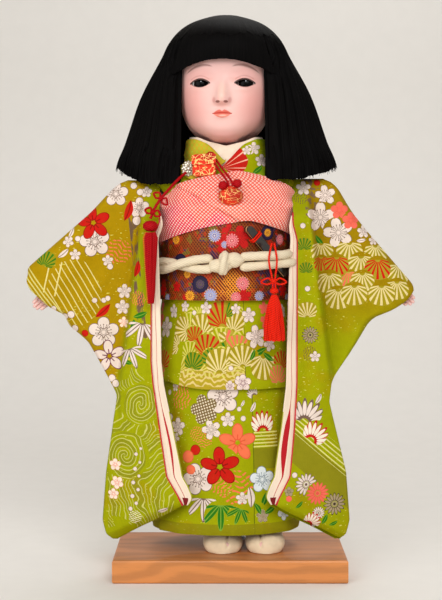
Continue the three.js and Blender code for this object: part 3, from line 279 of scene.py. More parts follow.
def merged(parts):
    """One list of points and faces from several."""
    points, faces, shift = [], [], 0
    for some, quads in parts:
        points.append(some)
        faces += [[i + shift for i in face] for face in quads]
        shift += len(some)
    return np.vstack(points), faces


def rounded_tube(path, radius, sides=10, **look):
    """Points and faces of a tube whose ends close in a dome."""
    path = np.asarray(path, float)
    radius = np.broadcast_to(np.asarray(radius, float), len(path))
    first, last = direction(path[0] - path[1]), direction(path[-1] - path[-2])
    out, thin = np.array([(0.45, 0.9), (0.8, 0.6), (0.97, 0.25)]).T
    head = (path[0] + first * radius[0] * out[:, None])[::-1]
    tail = path[-1] + last * radius[-1] * out[:, None]
    radius = np.concatenate([(radius[0] * thin)[::-1], radius, radius[-1] * thin])
    return skin_over(rings_along(np.vstack([head, path, tail]), radius, sides, **look))


def blob(centre, radii, wide=28, high=18, shape=None):
    """Points and faces of a closed rounded form; shape changes its unit points."""
    lifts = np.linspace(-math.pi / 2, math.pi / 2, high + 1)[1:-1]
    lift, angle = np.meshgrid(lifts, round_angles(wide), indexing="ij")
    unit = np.stack([np.cos(lift) * np.sin(angle), -np.cos(lift) * np.cos(angle), np.sin(lift)], -1)
    poles = np.array([[0, 0, -1.0], [0, 0, 1.0]])
    if shape:
        unit, poles = shape(unit), shape(poles)
    points = np.vstack([unit.reshape(-1, 3), poles])
    south = len(lifts) * wide
    ring = closed(np.arange(south).reshape(-1, wide))
    faces = np.stack(corners(ring), -1).reshape(-1, 4).tolist()
    faces += [[south, b, a] for a, b in zip(ring[0, :-1].tolist(), ring[0, 1:].tolist())]
    faces += [[south + 1, a, b] for a, b in zip(ring[-1, :-1].tolist(), ring[-1, 1:].tolist())]
    return points * np.asarray(radii, float) + np.asarray(centre, float), faces


# Shader expressions


def operation(name, swapped=False):
    """A method that adds one node of maths to a finish."""

    def add(wire, *others):
        return wire.finish.math(name, *((*others, wire) if swapped else (wire, *others)))

    return add


class Wire:
    """A socket of a finish. Arithmetic on it adds nodes."""

    __add__ = __radd__ = operation("ADD")
    __sub__, __rsub__ = operation("SUBTRACT"), operation("SUBTRACT", True)
    __mul__ = __rmul__ = operation("MULTIPLY")
    __truediv__ = operation("DIVIDE")
    __pow__ = operation("POWER")
    __abs__ = operation("ABSOLUTE")
    __lt__, __gt__ = operation("LESS_THAN"), operation("GREATER_THAN")
    __or__, __and__ = operation("MAXIMUM"), operation("MINIMUM")
    sin, cos, angle = operation("SINE"), operation("COSINE"), operation("ARCTAN2")
    part, floor = operation("FRACT"), operation("FLOOR")

    def __init__(self, finish, socket):
        self.finish, self.socket = finish, socket

    def wrap(self, half):
        return self.finish.math("WRAP", self, half, -half)

    def ramp(self, start, end):
        """0 before start, 1 after end, smooth between."""
        sockets = {"Value": self, "From Min": start, "From Max": end}
        return self.finish.out("ShaderNodeMapRange", {"interpolation_type": "SMOOTHSTEP"}, sockets)


class Finish:
    """A material whose nodes are written as expressions."""

    def __init__(self, name):
        self.material = bpy.data.materials.new(name)
        self.material.use_nodes = True
        self.tree = self.material.node_tree
        self.tree.nodes.clear()

    def node(self, kind, settings=None, sockets=None):
        node = self.tree.nodes.new(kind)
        for key, value in (settings or {}).items():
            if key == "stops":
                for _ in value[2:]:
                    node.color_ramp.elements.new(0.5)
                for stop, (where, colour) in zip(node.color_ramp.elements, value):
                    stop.position, stop.color = where, colour
                node.color_ramp.interpolation = "CONSTANT"
            else:
                setattr(node, key, value)
        for key, value in (sockets or {}).items():
            if isinstance(value, Wire):
                self.tree.links.new(value.socket, node.inputs[key])
            else:
                node.inputs[key].default_value = value
        return node

    def out(self, kind, settings=None, sockets=None, output=0):
        return Wire(self, self.node(kind, settings, sockets).outputs[output])

    def math(self, operation, *values):
        return self.out("ShaderNodeMath", {"operation": operation}, dict(enumerate(values)))

    def mix(self, factor, a, b, kind="RGBA"):
        first, second, out = {"VECTOR": (4, 5, 1), "RGBA": (6, 7, 2)}[kind]
        return self.out("ShaderNodeMix", {"data_type": kind}, {0: factor, first: a, second: b}, out)

    def layers(self, base, *coats):
        """Colours laid over a base one after the other, each as (where, colour)."""
        for where, colour in coats:
            base = self.mix(where, base, colour)
        return base

    def vector(self, operation, *values, output=0):
        sockets = dict(enumerate(values))
        return self.out("ShaderNodeVectorMath", {"operation": operation}, sockets, output)

    def scaled(self, vector, scale):
        return self.out("ShaderNodeVectorMath", {"operation": "SCALE"}, {0: vector, "Scale": scale})

    def split(self, vector):
        node = self.node("ShaderNodeSeparateXYZ", None, {0: vector})
        return [Wire(self, socket) for socket in node.outputs]

    def combine(self, x, y):
        return self.out("ShaderNodeCombineXYZ", None, {0: x, 1: y})

    def cut(self):
        """Millimetres on the flat cloth: the place, how far across and how far up."""
        where = self.scaled(self.out("ShaderNodeUVMap", {"uv_map": "cut"}), 100.0)
        return where, *self.split(where)[:2]

    def body(self):
        """Millimetres in the doll's own frame."""
        places = self.out("ShaderNodeTexCoord", None, None, "Object")
        return self.scaled(self.vector("SUBTRACT", places, tuple(ORIGIN)), 1 / MM)

    def axes(self):
        """The same place, and its x, y and z."""
        where = self.body()
        return where, *self.split(where)

    def noise(self, where, scale, detail=2.0, rough=0.5, stretch=None, output="Fac"):
        if stretch:
            where = self.vector("MULTIPLY", where, stretch)
        sockets = {"Vector": where, "Scale": scale, "Detail": detail, "Roughness": rough}
        return self.out("ShaderNodeTexNoise", None, sockets, output)

    def bump(self, height, strength, distance):
        return self.out(
            "ShaderNodeBump", None, {"Height": height, "Strength": strength, "Distance": distance}
        )

    def done(self, colour, rough, normal=None, metal=None, open_back=False, **constants):
        """Ends the finish with its surface; constants are set on the surface itself."""
        sockets = {"Base Color": colour, "Roughness": rough}
        if normal:
            sockets["Normal"] = normal
        if metal is not None:
            sockets["Metallic"] = metal
        sockets.update({key.replace("_", " ").title(): v for key, v in constants.items()})
        sockets = {key.replace("Ior", "IOR"): value for key, value in sockets.items()}
        surface = self.out("ShaderNodeBsdfPrincipled", None, sockets)
        if open_back:
            behind = self.out("ShaderNodeNewGeometry", None, None, "Backfacing")
            clear = self.out("ShaderNodeBsdfTransparent")
            surface = self.out("ShaderNodeMixShader", None, {0: behind, 1: surface, 2: clear})
        self.node("ShaderNodeOutputMaterial", None, {"Surface": surface})
        return self.material


def paint(red, green, blue):
    """A paint's linear colour from its screen values, 0 to 255."""

    def line(v):
        v /= 255
        return v / 12.92 if v <= 0.04045 else ((v + 0.055) / 1.055) ** 2.4

    return (line(red), line(green), line(blue), 1.0)


def shade(colour, by):
    return tuple(min(1.0, c * by) for c in colour[:3]) + (1.0,)


# The doll's forms, in millimetres; angle 0 faces the front and rises towards the doll's left

HEAD_Y = 4.0
HEAD_TURN = -4.5
EYE_X, EYE_Z, EYE_WIDTH, EYE_HEIGHT, EYE_RADIUS = 17.2, 363.0, 15.0, 5.7, 8.0
NOSE_Z, MOUTH_Z = 350.5, 340.0
FRINGE_Z, CAP_Z = 380.0, 403.0
OBI_TOP, NECK_Z = 262.0, 306.0
ARM_PIVOT = np.array([56.4, -2.0, 275.6])
HAND_POINT = np.array([143.0, -16.0, 196.0])
# How far the sash and the middle of its cord stand out from the trunk, and how high that cord is
SASH_OUT, CORD_OUT, CORD_Z = 10.8, 15.6, 226
BOW_Y, BOW_Z = 60.3, 248.8
FAN_ANGLE, FAN_FOOT_Z = 32, 235.5
# Half the depth of a sleeve over the arm
WING_HALF = 12.6
# Millimetres on a flat cut for each radian round the doll
SKIRT_CUT, TRUNK_CUT = 57, 56

trunk_form = profile([
    (116, 36, 29), (140, 43, 34.5), (196, 44.5, 35.5), (252, 45.5, 35.5), (268, 48, 34.5), (280, 53, 33),
    (287, 57, 31), (291, 54, 28.5), (296, 43, 26), (301, 31.5, 23.5), (306, 23.5, 21), (316, 20, 19),
])
head_form = profile([
    (314, 11, 14, 11), (318, 13, 31, 15), (323, 21.5, 36, 22), (331, 29, 39, 31), (342, 34, 40, 38),
    (354, 36.5, 40.5, 42), (368, 37.5, 40.5, 45), (381, 37.5, 40.5, 46), (393, 36.5, 39, 44),
    (403, 32, 34, 38), (410, 23, 24, 27), (413.5, 10, 11, 12),
])
hair_form = profile([
    (282, 90.5, 42, 66), (303, 87.5, 40, 64), (321, 79.6, 39, 62), (356, 67, 42, 57), (386, 50.5, 48.5, 51.5),
    (401, 42.5, 44.5, 48), (412, 30, 31, 34), (418.5, 12, 13, 14), (420, 1, 1, 1),
])
skirt_form = profile([
    (16, 57.5, 42), (60, 56.5, 42), (129, 51.5, 40.3), (160, 47.8, 38.6), (203, 46.6, 37.5)
])
tuck_form = profile([
    (129, 57, 46), (137, 57, 46), (165, 54, 44), (194, 51.1, 42.1), (196, 51.1, 42.1), (203, 51.2, 42.1)
])
sleeve_in = steps([
    (9, 86), (20, 68), (30, 50), (40, 33), (62, 46.5), (80, 49.5), (133, 58.4), (150, 60.2), (274, 60.2),
    (286, 61.8),
], 1.2)
# How each sleeve hangs: where its front layer ends, and how far its inner edge comes in
hung_end = {
    1: steps([
        (9, 88), (13, 94), (24, 97), (62, 94), (118, 80), (133, 82), (154, 97), (178, 112), (183, 117),
        (189, 131), (196, 141), (204, 146.4), (208.4, 146.6), (251, 110), (279, 88), (284.5, 81), (286, 73),
    ], 1.6),
    -1: steps([
        (9, 88), (13, 94), (24, 97), (62, 94), (122.5, 85), (163, 108), (176, 123), (184.5, 127),
        (191, 138), (204.6, 153), (211, 155.5), (221.7, 155), (257, 115), (272, 98), (280, 88.5),
        (284.5, 82), (286, 74),
    ], 1.6),
}
hung_shift = {
    1: steps([(40, 5), (62, 3), (100, 0), (150, -5.5), (244, -5.5), (256, -9)], 3),
    -1: steps([(40, 0), (150, -2), (244, -2.5), (256, -9)], 3),
}
cuff_rows = {1: (184, 206), -1: (186, 214)}
sleeve_crease = steps([(125, 86), (200, 76), (265, 68)])
sleeve_foot = steps([(33, 40), (50, 30), (68, 20), (86, 9)], 2.0)


def oval_points(degrees, z, wide, front, back=None, y=0.0):
    angle = np.radians(degrees)
    reach = front if back is None else np.where(np.cos(angle) > 0, front, back)
    return np.stack(np.broadcast_arrays(wide * np.sin(angle), y - reach * np.cos(angle), z), -1)


def on_trunk(degrees, z, offset=0.0):
    wide, deep = trunk_form(z)
    return oval_points(degrees, np.asarray(z, float), wide + offset, deep + offset)


def on_hair(degrees, z, depth=0.0):
    wide, front, back = hair_form(z)
    return oval_points(degrees, z, wide - depth, front - depth, back - depth, HEAD_Y)


def faced(points):
    """Points turned with the doll's head."""
    return turn_z(points, HEAD_TURN, 0, HEAD_Y)


def eye_centre(sign):
    wide, front, _ = head_form(EYE_Z)
    edge = (1 - (EYE_X / wide) ** 2.5) ** 0.4
    return np.array([sign * EYE_X, HEAD_Y - front * edge + EYE_RADIUS + 2.6, EYE_Z])


def face_relief(x, z):
    """How far the face stands out in front of the plain head."""
    side = np.abs(x)
    ridge = smoothstep(EYE_Z + 9, NOSE_Z - 1, z) * smoothstep(NOSE_Z - 6, NOSE_Z - 1, z)
    nose = 5.8 * ridge * bump(x, lerp(4.2, 5.2, smoothstep(EYE_Z, NOSE_Z, z)))
    wings = 1.1 * bump(side - 4.2, 1.9) * bump(z - NOSE_Z + 0.8, 2.4)
    lips = 1.9 * bump(x, 7) * bump(z - MOUTH_Z, 4.4)
    upper = 0.8 * bump(side - 2.4, 2.6) * bump(z - MOUTH_Z - 1.9, 1.3)
    lower = 1.0 * bump(x, 4.6) * bump(z - MOUTH_Z + 2.1, 1.5)
    parting = -0.9 * bump(x, 6.6) * bump(z - MOUTH_Z - 0.1, 0.75)
    philtrum = -0.5 * bump(x, 1.6) * bump(z - MOUTH_Z - 5.2, 2.2)
    cheeks = 1.6 * bump(side - 20, 11) * bump(z - MOUTH_Z - 6, 11)
    sockets = -1.2 * bump(side - EYE_X, 10) * bump(z - EYE_Z - 3, 7)
    lids = 1.5 * bump(side - EYE_X, 8.6) * bump(z - EYE_Z - 4.4, 2.3)
    bags = 0.8 * bump(side - EYE_X, 8) * bump(z - EYE_Z + 4.6, 2.2)
    chin = 1.5 * bump(x, 9) * bump(z - 327, 6)
    return nose + wings + lips + upper + lower + parting + philtrum + cheeks + sockets + lids + bags + chin


def bag_back(x):
    return -44.2 + 0.45 * (x - 32)


def wing_middle(x):
    run, slant, _ = HAND_POINT - ARM_PIVOT
    return ARM_PIVOT[1] + (x - ARM_PIVOT[0]) * (slant / run)


def sleeve_back(x, z):
    return lerp(bag_back(x), wing_middle(x) + WING_HALF, smoothstep(112, 205, z))


def sleeve_front(x, z):
    full = lerp(8.6, 12, smoothstep(0, 16, x - sleeve_in(z)))
    bag = bag_back(x) - full
    wing = np.minimum(wing_middle(x) - WING_HALF, sleeve_back(x, z) - 7)
    crease = sleeve_crease(z)
    on_bag = smoothstep(crease + 1, crease - 5, x) * smoothstep(282, 258, z)
    return lerp(wing, bag, np.maximum(on_bag, smoothstep(127, 98, z)))


def sleeve_drift(x, z):
    """Soft folds, the same for every layer of a sleeve."""
    across = (x - ARM_PIVOT[0]) * 0.677 + (z - ARM_PIVOT[2]) * 0.736
    wing = smoothstep(86, 104, x) * smoothstep(140, 165, z)
    hanging = smoothstep(150, 120, z) * smoothstep(12, 40, z)
    return 0.9 * wing * np.sin(across / 4.6 + x / 31) + 0.8 * hanging * np.sin(x / 5.2 + z / 38)


def sleeve_close(x, z):
    """How far a sleeve's two layers stand apart, closing at its sewn foot and at the shoulder fold."""
    low = np.clip((z - sleeve_foot(x)) / 10, 0.01, 1)
    high = np.clip((z - 273) / 13.2, 0, 0.97)
    return np.sqrt(1 - (1 - low) ** 2) * np.sqrt(1 - high**2)


# What a user may change


def tint(name, description, red, green, blue):
    return bpy.props.FloatVectorProperty(
        name=name, description=description, subtype="COLOR", size=4, min=0.0, max=1.0,
        default=paint(red, green, blue),
    )


def size(name, description, millimetres):
    return bpy.props.FloatProperty(
        name=name, description=description, default=millimetres * MM, min=0.0, unit="LENGTH", precision=4
    )


class DollColours(bpy.types.PropertyGroup):
    """Colours of the doll's finishes."""

    skin: tint("Skin", "Shell-white finish of the face and hands", 229, 184, 175)
    # The cheeks' rose; darkened, it also paints the face's shade under the jaw, round the nose and in the lid
    # creases.
    blush: tint("Blush", "Rose on the cheeks and under the jaw", 214, 118, 110)
    lips: tint("Lips", "Painted lips", 212, 82, 60)
    hair: tint("Hair", "Black silk hair", 5, 4, 4)
    wood: tint("Wood", "Board of the stand", 208, 131, 66)
    lime: tint("Lime", "Ground of the skirt and the sleeve bags", 154, 158, 2)
    mustard: tint("Mustard", "Ground of the sleeves over the arms", 168, 134, 2)
    lining: tint("Lining", "White silk lining and inner collar", 236, 216, 192)
    piping: tint("Piping", "Red piping on the sleeves' open edges", 196, 8, 26)
    brocade: tint("Brocade", "Ground of the sash", 112, 28, 12)
    gold: tint("Gold", "Gold thread", 214, 118, 24)
    coral: tint("Coral", "Scarf over the sash", 230, 84, 66)
    crimson_dye: tint("Crimson dye", "The scarf's darker half", 222, 30, 76)
    sash_cord: tint("Sash cord", "Padded cream cord", 226, 210, 180)
    orange: tint("Orange silk", "The fan's cord and tassel", 236, 34, 6)
    crimson: tint("Crimson silk", "The side tassel and the pouch's cord", 178, 3, 14)
    lacquer: tint("Lacquer", "The fan's black sticks", 22, 18, 15)
    wallet: tint("Wallet", "Ground of the wallet and the pouch", 222, 48, 22)
    calico: tint("Calico", "Stuffed limbs and the sash's padding", 226, 215, 194)
    tabi: tint("Socks", "Cotton split-toe socks", 228, 205, 172)
    floor: tint("Floor", "Studio floor and backdrop", 226, 222, 216)


class DollSizes(bpy.types.PropertyGroup):
    """Sizes of the trimmings and of the view."""

    piping_radius: size("Piping radius", "Radius of the red piping", 0.75)
    cord_radius: size("Cord radius", "Radius of the fan's cord", 0.8)
    strand_radius: size("Strand radius", "Radius of a tassel's threads", 0.55)
    camera_distance: size("Camera distance", "From the camera to the middle of the stand", 1100)
    camera_height: size("Camera height", "Height of the camera over the floor", 268)
    aim_height: size("Aim height", "Height that the camera looks at", 214)
    lens: bpy.props.FloatProperty(
        name="Lens", description="Focal length", default=83.6, min=1.0, unit="CAMERA"
    )
    tassel_strands: bpy.props.IntProperty(
        name="Tassel strands", description="Threads in a tassel's skirt", default=90, min=10
    )


def colours():
    return bpy.context.scene.doll_colours


def sizes():
    return bpy.context.scene.doll_sizes


# Printed silk: a fill and a line colour for each tint, on the screen's scale
TINTS = {
    "white": ((230, 212, 200), (116, 90, 78)), "red": ((196, 18, 18), (142, 6, 8)),
    "salmon": ((238, 114, 76), (222, 86, 56)), "coral": ((236, 104, 86), (222, 84, 70)),
    "cream": ((228, 208, 146), (228, 208, 146)), "green": ((36, 116, 24), (120, 160, 50)),
    "brown": ((118, 92, 56), (226, 212, 182)), "purple": ((232, 212, 200), (112, 40, 72)),
    "redline": ((242, 230, 208), (192, 24, 26)), "coralline": ((242, 226, 206), (234, 112, 92)),
    "blue": ((224, 230, 232), (112, 130, 142)), "grey": ((166, 146, 114), (58, 48, 36)),
    "scarlet": ((192, 18, 14), (150, 8, 8)), "fanred": ((190, 22, 22), (240, 178, 150)),
    "navy": ((34, 28, 60), (20, 16, 40)), "sky": ((128, 140, 196), (222, 206, 190)),
    "rose": ((214, 88, 100), (238, 176, 170)), "amber": ((240, 168, 40), (120, 40, 16)),
    "plumtone": ((70, 44, 92), (120, 110, 50)),
}

PINE_TINTS = {
    "cream": ((158, 140, 22), (226, 206, 142)), "red": ((168, 146, 36), (196, 20, 16)),
    "coral": ((180, 156, 56), (234, 106, 84)), "green": ((150, 140, 20), (40, 116, 26)),
}

# Motifs of each kind, in runs of one tint: (across, up, radius) in millimetres, and its turn if any
SKIRT_PRINT = {
    "wave": [
        ("salmon", (-39.8, 121.6, 9.9, 80), (-17.2, 90.1, 6.8), (8.2, 53.2, 13.7, 10), (-3.2, 55.5, 9.1, 60),
         (-23.6, 94.0, 6.1, 40)),
    ],
    "cherry": [
        ("white", (1.3, 105.5, 6.1), (-11.7, 97.8, 8.3, 20), (-41.8, 98.6, 7.6), (-43.9, 90.1, 4.6, 40),
         (-47.1, 129.3, 3.8), (12.0, 44.7, 5.3)),
    ],
    "plum": [
        ("white", (-2.5, 123.1, 13.7, 10), (-22.0, 59.3, 12.9, 20)),
        ("blue", (28.3, 58.6, 10.6, 5), (43.3, 47.0, 6.8), (48.8, 31.5, 6.8, 30)),
    ],
    "lattice": [("brown", (-18.0, 113.2, 12.1, 18), (28.3, 30.0, 5.3))],
    "halfmum": [("redline", (30.0, 103.2, 9.9)), ("white", (21.6, 126.2, 4.6, 30))],
    "leaf": [
        ("white", (19.1, 45.4, 8.3, 95), (22.4, 114.7, 4.6, 60)),
        ("green", (30.0, 42.4, 6.1, 70), (35.4, 34.6, 6.1, 30), (24.9, 36.2, 5.3, 120)),
        ("white", (13.6, 117.8, 3.0, 60)),
    ],
    "bamboo": [("white", (-17.2, 36.2, 12.1)), ("green", (-4.0, 30.8, 12.9), (8.9, 31.5, 8.3, -20))],
    "petal5": [("salmon", (8.9, 87.8, 15.2)), ("red", (-4.8, 69.3, 15.9, 4))],
    "dot": [
        ("red", (-24.5, 81.7, 4.2)),
        ("salmon", (-30.5, 76.3, 4.9), (-27.9, 66.3, 3.8)),
        ("white", (10.5, 113.6, 2.0), (13.6, 106.3, 2.3), (-50.6, 105.5, 3.0), (-46.0, 81.7, 2.3),
         (-54.4, 124.7, 2.3), (48.8, 40.8, 2.3)),
    ],
}
TUCK_PRINT = {
    "pine": [
        ("cream", (-54.2, 174.5, 9.8, 80), (-61.4, 162.3, 7.6, 80), (-34.0, 177.6, 10.6),
         (-8.6, 172.2, 11.4), (5.1, 180.6, 10.6)),
        ("red", (-40.7, 170.7, 7.6), (-29.5, 162.3, 10.6, -5)),
        ("coral", (-3.2, 165.4, 12.1), (8.9, 163.1, 9.1)),
        ("red", (-17.1, 185.9, 12.9)),
        ("green", (-1.0, 189.7, 7.6), (-10.9, 158.5, 9.8, 10), (-40.7, 150.1, 8.3, -10),
         (-26.1, 153.9, 7.6, 30)),
        ("cream", (-17.9, 150.1, 12.1, -8), (-3.2, 153.9, 10.6), (12.8, 153.9, 10.6),
         (31.5, 146.0, 12.0, 180)),
        ("red", (50.0, 150.0, 9.0)),
        ("coral", (45.0, 139.0, 9.0)),
    ],
    "cherry": [
        ("white", (-51.7, 192.0, 4.5), (-31.3, 191.3, 5.3), (8.1, 190.5, 4.5), (19.4, 185.6, 6.4),
         (25.4, 169.0, 9.8, 10), (48.3, 175.0, 9.0)),
        ("coral", (36.0, 181.0, 7.0), (34.0, 191.0, 5.5)),
        ("white", (58.0, 188.0, 6.0), (38.0, 163.0, 6.0, 20)),
    ],
    "plum": [("purple", (2.8, 131.8, 4.5), (12.8, 134.1, 6.8), (-10.9, 131.0, 3.8))],
    "leaf": [("green", (29.0, 157.5, 6.4, 20), (36.0, 153.0, 6.0, -35), (22.0, 155.0, 5.0, 60))],
    "dot": [
        ("white", (-4.8, 141.0, 2.0), (3.6, 145.5, 2.0), (-1.0, 131.0, 1.8), (8.9, 137.9, 1.8),
         (-41.7, 187.5, 2.0)),
    ],
}
RIGHT_SLEEVE_PRINT = {
    "wave": [
        ("salmon", (-83.8, 234.2, 10.1, -30), (-67.3, 198.4, 6.0, 80)),
        ("coralline", (-70.3, 29.3, 5.3)),
    ],
    "plum": [
        ("white", (-85.8, 279.0, 10.1), (-102.1, 241.9, 12.4, 12), (-67.5, 268.2, 8.5), (-95.6, 171.3, 12.4)),
        ("coralline", (-86.1, 69.2, 4.9), (-84.6, 55.4, 5.3, 30), (-87.6, 46.2, 4.5)),
        ("white", (-62.1, 280.5, 4.6)),
    ],
    "petal5": [("red", (-103.2, 256.6, 13.9, 10)), ("purple", (-91.2, 152.5, 13.2, 8))],
    "leaf": [
        ("red", (-75.8, 265.9, 8.5, 72), (-95.6, 187.6, 7.7, 42)),
        ("white", (-120.2, 248.9, 4.6, 70), (-126.0, 232.6, 5.4, 40)),
        ("red", (-68.2, 221.0, 6.8, 75)),
        ("green", (-70.3, 179.5, 6.0, 60), (-65.8, 185.5, 6.0, 20), (-74.0, 155.2, 4.5, 30),
         (-76.3, 149.2, 4.5, -20)),
        ("white", (-48.4, 36.3, 4.5, 20)),
    ],
    "pine": [("green", (-139.6, 228.0, 7.7, -20))],
    "bamboo": [("white", (-65.8, 171.2, 12.1, -10), (-71.8, 153.0, 10.5, 20))],
    "cherry": [
        ("white", (-79.3, 203.1, 6.2), (-80.9, 190.7, 6.2), (-117.1, 231.8, 4.6), (-122.5, 241.9, 4.6, 30),
         (-92.3, 227.2, 4.6)),
        ("coralline", (-79.9, 179.0, 4.6)),
    ],
    "dot": [
        ("white", (-72.2, 285.5, 2.8), (-67.1, 280.5, 2.8), (-115.2, 244.2, 2.3), (-90.4, 222.5, 2.5),
         (-102.4, 196.2, 2.2), (-95.4, 196.2, 2.2), (-92.3, 197.7, 2.2)),
        ("red", (-110.1, 170.5, 2.8)),
        ("white", (-120.6, 185.3, 3.1), (-134.1, 189.9, 2.3), (-125.6, 183.7, 2.6), (-117.9, 174.4, 2.9),
         (-89.2, 135.4, 3.1), (-86.1, 131.5, 3.1), (-69.5, 258.2, 3.9), (-69.5, 78.4, 1.5),
         (-66.5, 72.2, 1.3), (-70.3, 66.9, 1.7), (-67.3, 61.5, 1.3), (-71.8, 56.2, 1.7), (-68.0, 50.8, 1.5),
         (-72.5, 45.5, 1.8), (-69.5, 40.1, 1.5), (-74.0, 35.5, 1.8), (-65.8, 82.9, 1.2)),
    ],
}
LEFT_SLEEVE_PRINT = {
    "wave": [("brown", (57.8, 276.7, 6.0, 60), (64.5, 156.0, 6.0, 80))],
    "cherry": [
        ("white", (60.3, 283.6, 6.2), (77.3, 278.0, 8.5, 10), (73.5, 260.8, 12.4), (87.4, 248.9, 12.4, 15),
         (106.8, 249.7, 5.4), (114.5, 242.7, 3.9), (68.3, 153.7, 4.5)),
    ],
    "plum": [("coral", (88.2, 266.2, 7.0), (97.0, 258.2, 7.0)), ("grey", (48.0, 50.8, 3.8))],
    "leaf": [
        ("white", (104.9, 242.7, 3.9, 10)),
        ("green", (72.3, 242.7, 5.4, -50), (56.3, 40.1, 3.8, 40), (76.6, 27.0, 4.5, 60),
         (83.4, 23.2, 3.8, 20)),
        ("white", (71.3, 121.1, 4.5, 60)),
    ],
    "pine": [
        ("cream", (74.2, 234.2, 9.3, 180), (95.9, 234.2, 10.1, 180), (116.1, 232.6, 9.3, 180),
         (133.9, 217.1, 9.3, 170), (104.9, 223.3, 10.8, 180)),
        ("coral", (95.2, 213.2, 7.7, 180)),
        ("red", (74.2, 224.9, 7.0, 180), (86.2, 223.3, 9.3, 180), (117.6, 221.0, 10.1, 180)),
        ("cream", (80.4, 210.1, 10.1, 180), (106.0, 210.9, 9.3, 180), (132.3, 204.7, 9.3, 180),
         (87.4, 197.7, 10.1, 180), (99.8, 200.8, 10.1, 180), (120.7, 200.8, 10.1, 180)),
        ("green", (61.1, 221.8, 5.3)),
        ("cream", (62.1, 189.3, 7.5)),
        ("green", (59.3, 239.9, 6.0)),
    ],
    "mum": [
        ("white", (61.5, 55.4, 9.0)),
        ("coral", (70.6, 47.7, 9.0)),
        ("grey", (84.1, 38.6, 9.0), (64.5, 170.4, 6.8)),
        ("white", (71.3, 32.4, 5.3)),
    ],
    "halfmum": [
        ("white", (63.0, 111.2, 11.3, -20)),
        ("redline", (69.1, 95.1, 9.8, -35), (66.8, 27.0, 6.8, -40)),
    ],
    "dot": [
        ("white", (58.5, 254.2, 2.3), (62.3, 206.0, 2.3)),
        ("red", (71.1, 287.9, 2.6)),
        ("white", (52.5, 63.1, 2.3)),
        ("coral", (48.0, 45.5, 2.3)),
    ],
}
SASH_PRINT = {
    "cherry": [
        ("scarlet", (-0.2, 246.6, 12.9), (-9.3, 240.6, 8.3), (10.4, 245.1, 9.8), (-39.8, 198.2, 5.3),
         (13.5, 200.5, 6.8), (51.2, 204.3, 5.3), (-50.7, 207.3, 4.5)),
    ],
    "dot": [("navy", (-46.1, 227.0, 6.0), (-28.7, 209.6, 6.8), (33.5, 248.9, 6.0), (46.5, 222.4, 6.0))],
    "mum": [
        ("sky", (-17.1, 246.6, 5.1), (-20.3, 201.2, 5.4), (-9.3, 239.8, 3.0)),
        ("rose", (4.3, 242.9, 5.4), (12.7, 210.3, 5.4), (7.4, 199.7, 4.2)),
        ("amber", (-37.8, 200.5, 4.8), (-39.8, 217.1, 3.6), (33.5, 248.9, 3.6)),
        ("plumtone", (-28.7, 209.6, 3.6)),
        ("sky", (26.5, 200.5, 4.2), (58.0, 198.2, 3.6)),
        ("amber", (-50.7, 243.6, 4.2)),
        ("rose", (46.5, 243.6, 4.2)),
        ("amber", (37.2, 227.0, 3.6)),
    ],
}
COLLAR_PRINT = {
    "fan": [("fanred", (3.6, 305.7, 13.5, -42))],
    "cherry": [("white", (21.4, 314.1, 5.4), (27.6, 304.9, 5.4), (16.0, 312.5, 3.9))],
    "leaf": [("green", (24.5, 297.2, 5.4, 40), (-27.9, 320.2, 4.6, 60))],
}


def far(a, b):
    return (a * a + b * b) ** 0.5


def fold(x, y, count):
    """Turns every petal of a flower onto one; gives places along and across it."""
    reach = far(x, y)
    turned = x.angle(y).wrap(math.pi / count)
    return reach * turned.cos(), reach * turned.sin(), reach


def disc(along, across, middle, radius):
    away = far(along - middle, across)
    return away < radius, away > radius * 0.9


def oval(x, y, wide, high):
    """How far out a place is in an oval, squared: 1 at its edge."""
    a, b = x / wide, y / high
    return a * a + b * b


def stamens(x, y):
    along, across, reach = fold(x, y, 15)
    rays = (abs(across) < 0.014) * (reach < 0.46) * (reach > 0.12)
    return rays | disc(along, across, 0.49, 0.036)[0]


# Each motif gives its filled part and its drawn lines


def draw_plum(x, y):
    along, across, reach = fold(x, y, 5)
    petal, rim = disc(along, across, 0.6, 0.385)
    fill = petal | (reach < 0.32)
    return fill, fill * (stamens(x, y) | (rim * petal))


def draw_cherry(x, y):
    along, across, reach = fold(x, y, 5)
    shape = oval(along - 0.58, across, 0.41, 0.33)
    notch, _ = disc(along, across, 1.03, 0.13)
    fill = (shape < 1) * (1 - notch) | (reach < 0.28)
    return fill, fill * (stamens(x, y) | (shape > 0.82) * (reach > 0.34))


def draw_petal5(x, y):
    along, across, _ = fold(x, y, 5)
    shape = oval(along - 0.55, across, 0.44, 0.29)
    vein = (abs(across) < 0.03) * (along < 0.42)
    return shape < 1, (shape < 1) * ((shape > 0.76) | vein)


def draw_lattice(x, y):
    along, across, reach = fold(x, y, 5)
    fill = disc(along, across, 0.6, 0.37)[0] | (reach < 0.36)
    return fill, fill * ((x * 5.5).part() < 0.55) * ((y * 5.5).part() < 0.55)


def draw_mum(x, y):
    along, across, reach = fold(x, y, 15)
    shape = oval(along - 0.62, across, 0.37, 0.125)
    fill = (shape < 1) | (reach < 0.22)
    return fill, fill * ((shape > 0.6) * (reach > 0.3) | (reach < 0.12))


def draw_halfmum(x, y):
    low = y + 0.8
    along, across, _ = fold(x / 1.75, low / 1.75, 20)
    shape = oval(along - 0.58, across, 0.4, 0.105)
    fill = (shape < 1) * (low > 0.05)
    return fill, fill * (shape > 0.5)


def draw_pine(x, y):
    low = y + 0.72
    _, across, reach = fold(x / 1.6, low / 1.6, 19)
    rays = (abs(across) < 0.012 + 0.054 * reach) * (reach > 0.14) * (reach < 0.97)
    sector = (reach < 1.0) * (low > 0.04)
    return sector, sector * rays


def draw_fan(x, y):
    low = y + 0.72
    _, across, reach = fold(x / 1.6, low / 1.6, 19)
    fill = (reach < 0.97) * (low > 0.06)
    return fill, fill * (abs(across) > 0.138 * reach)


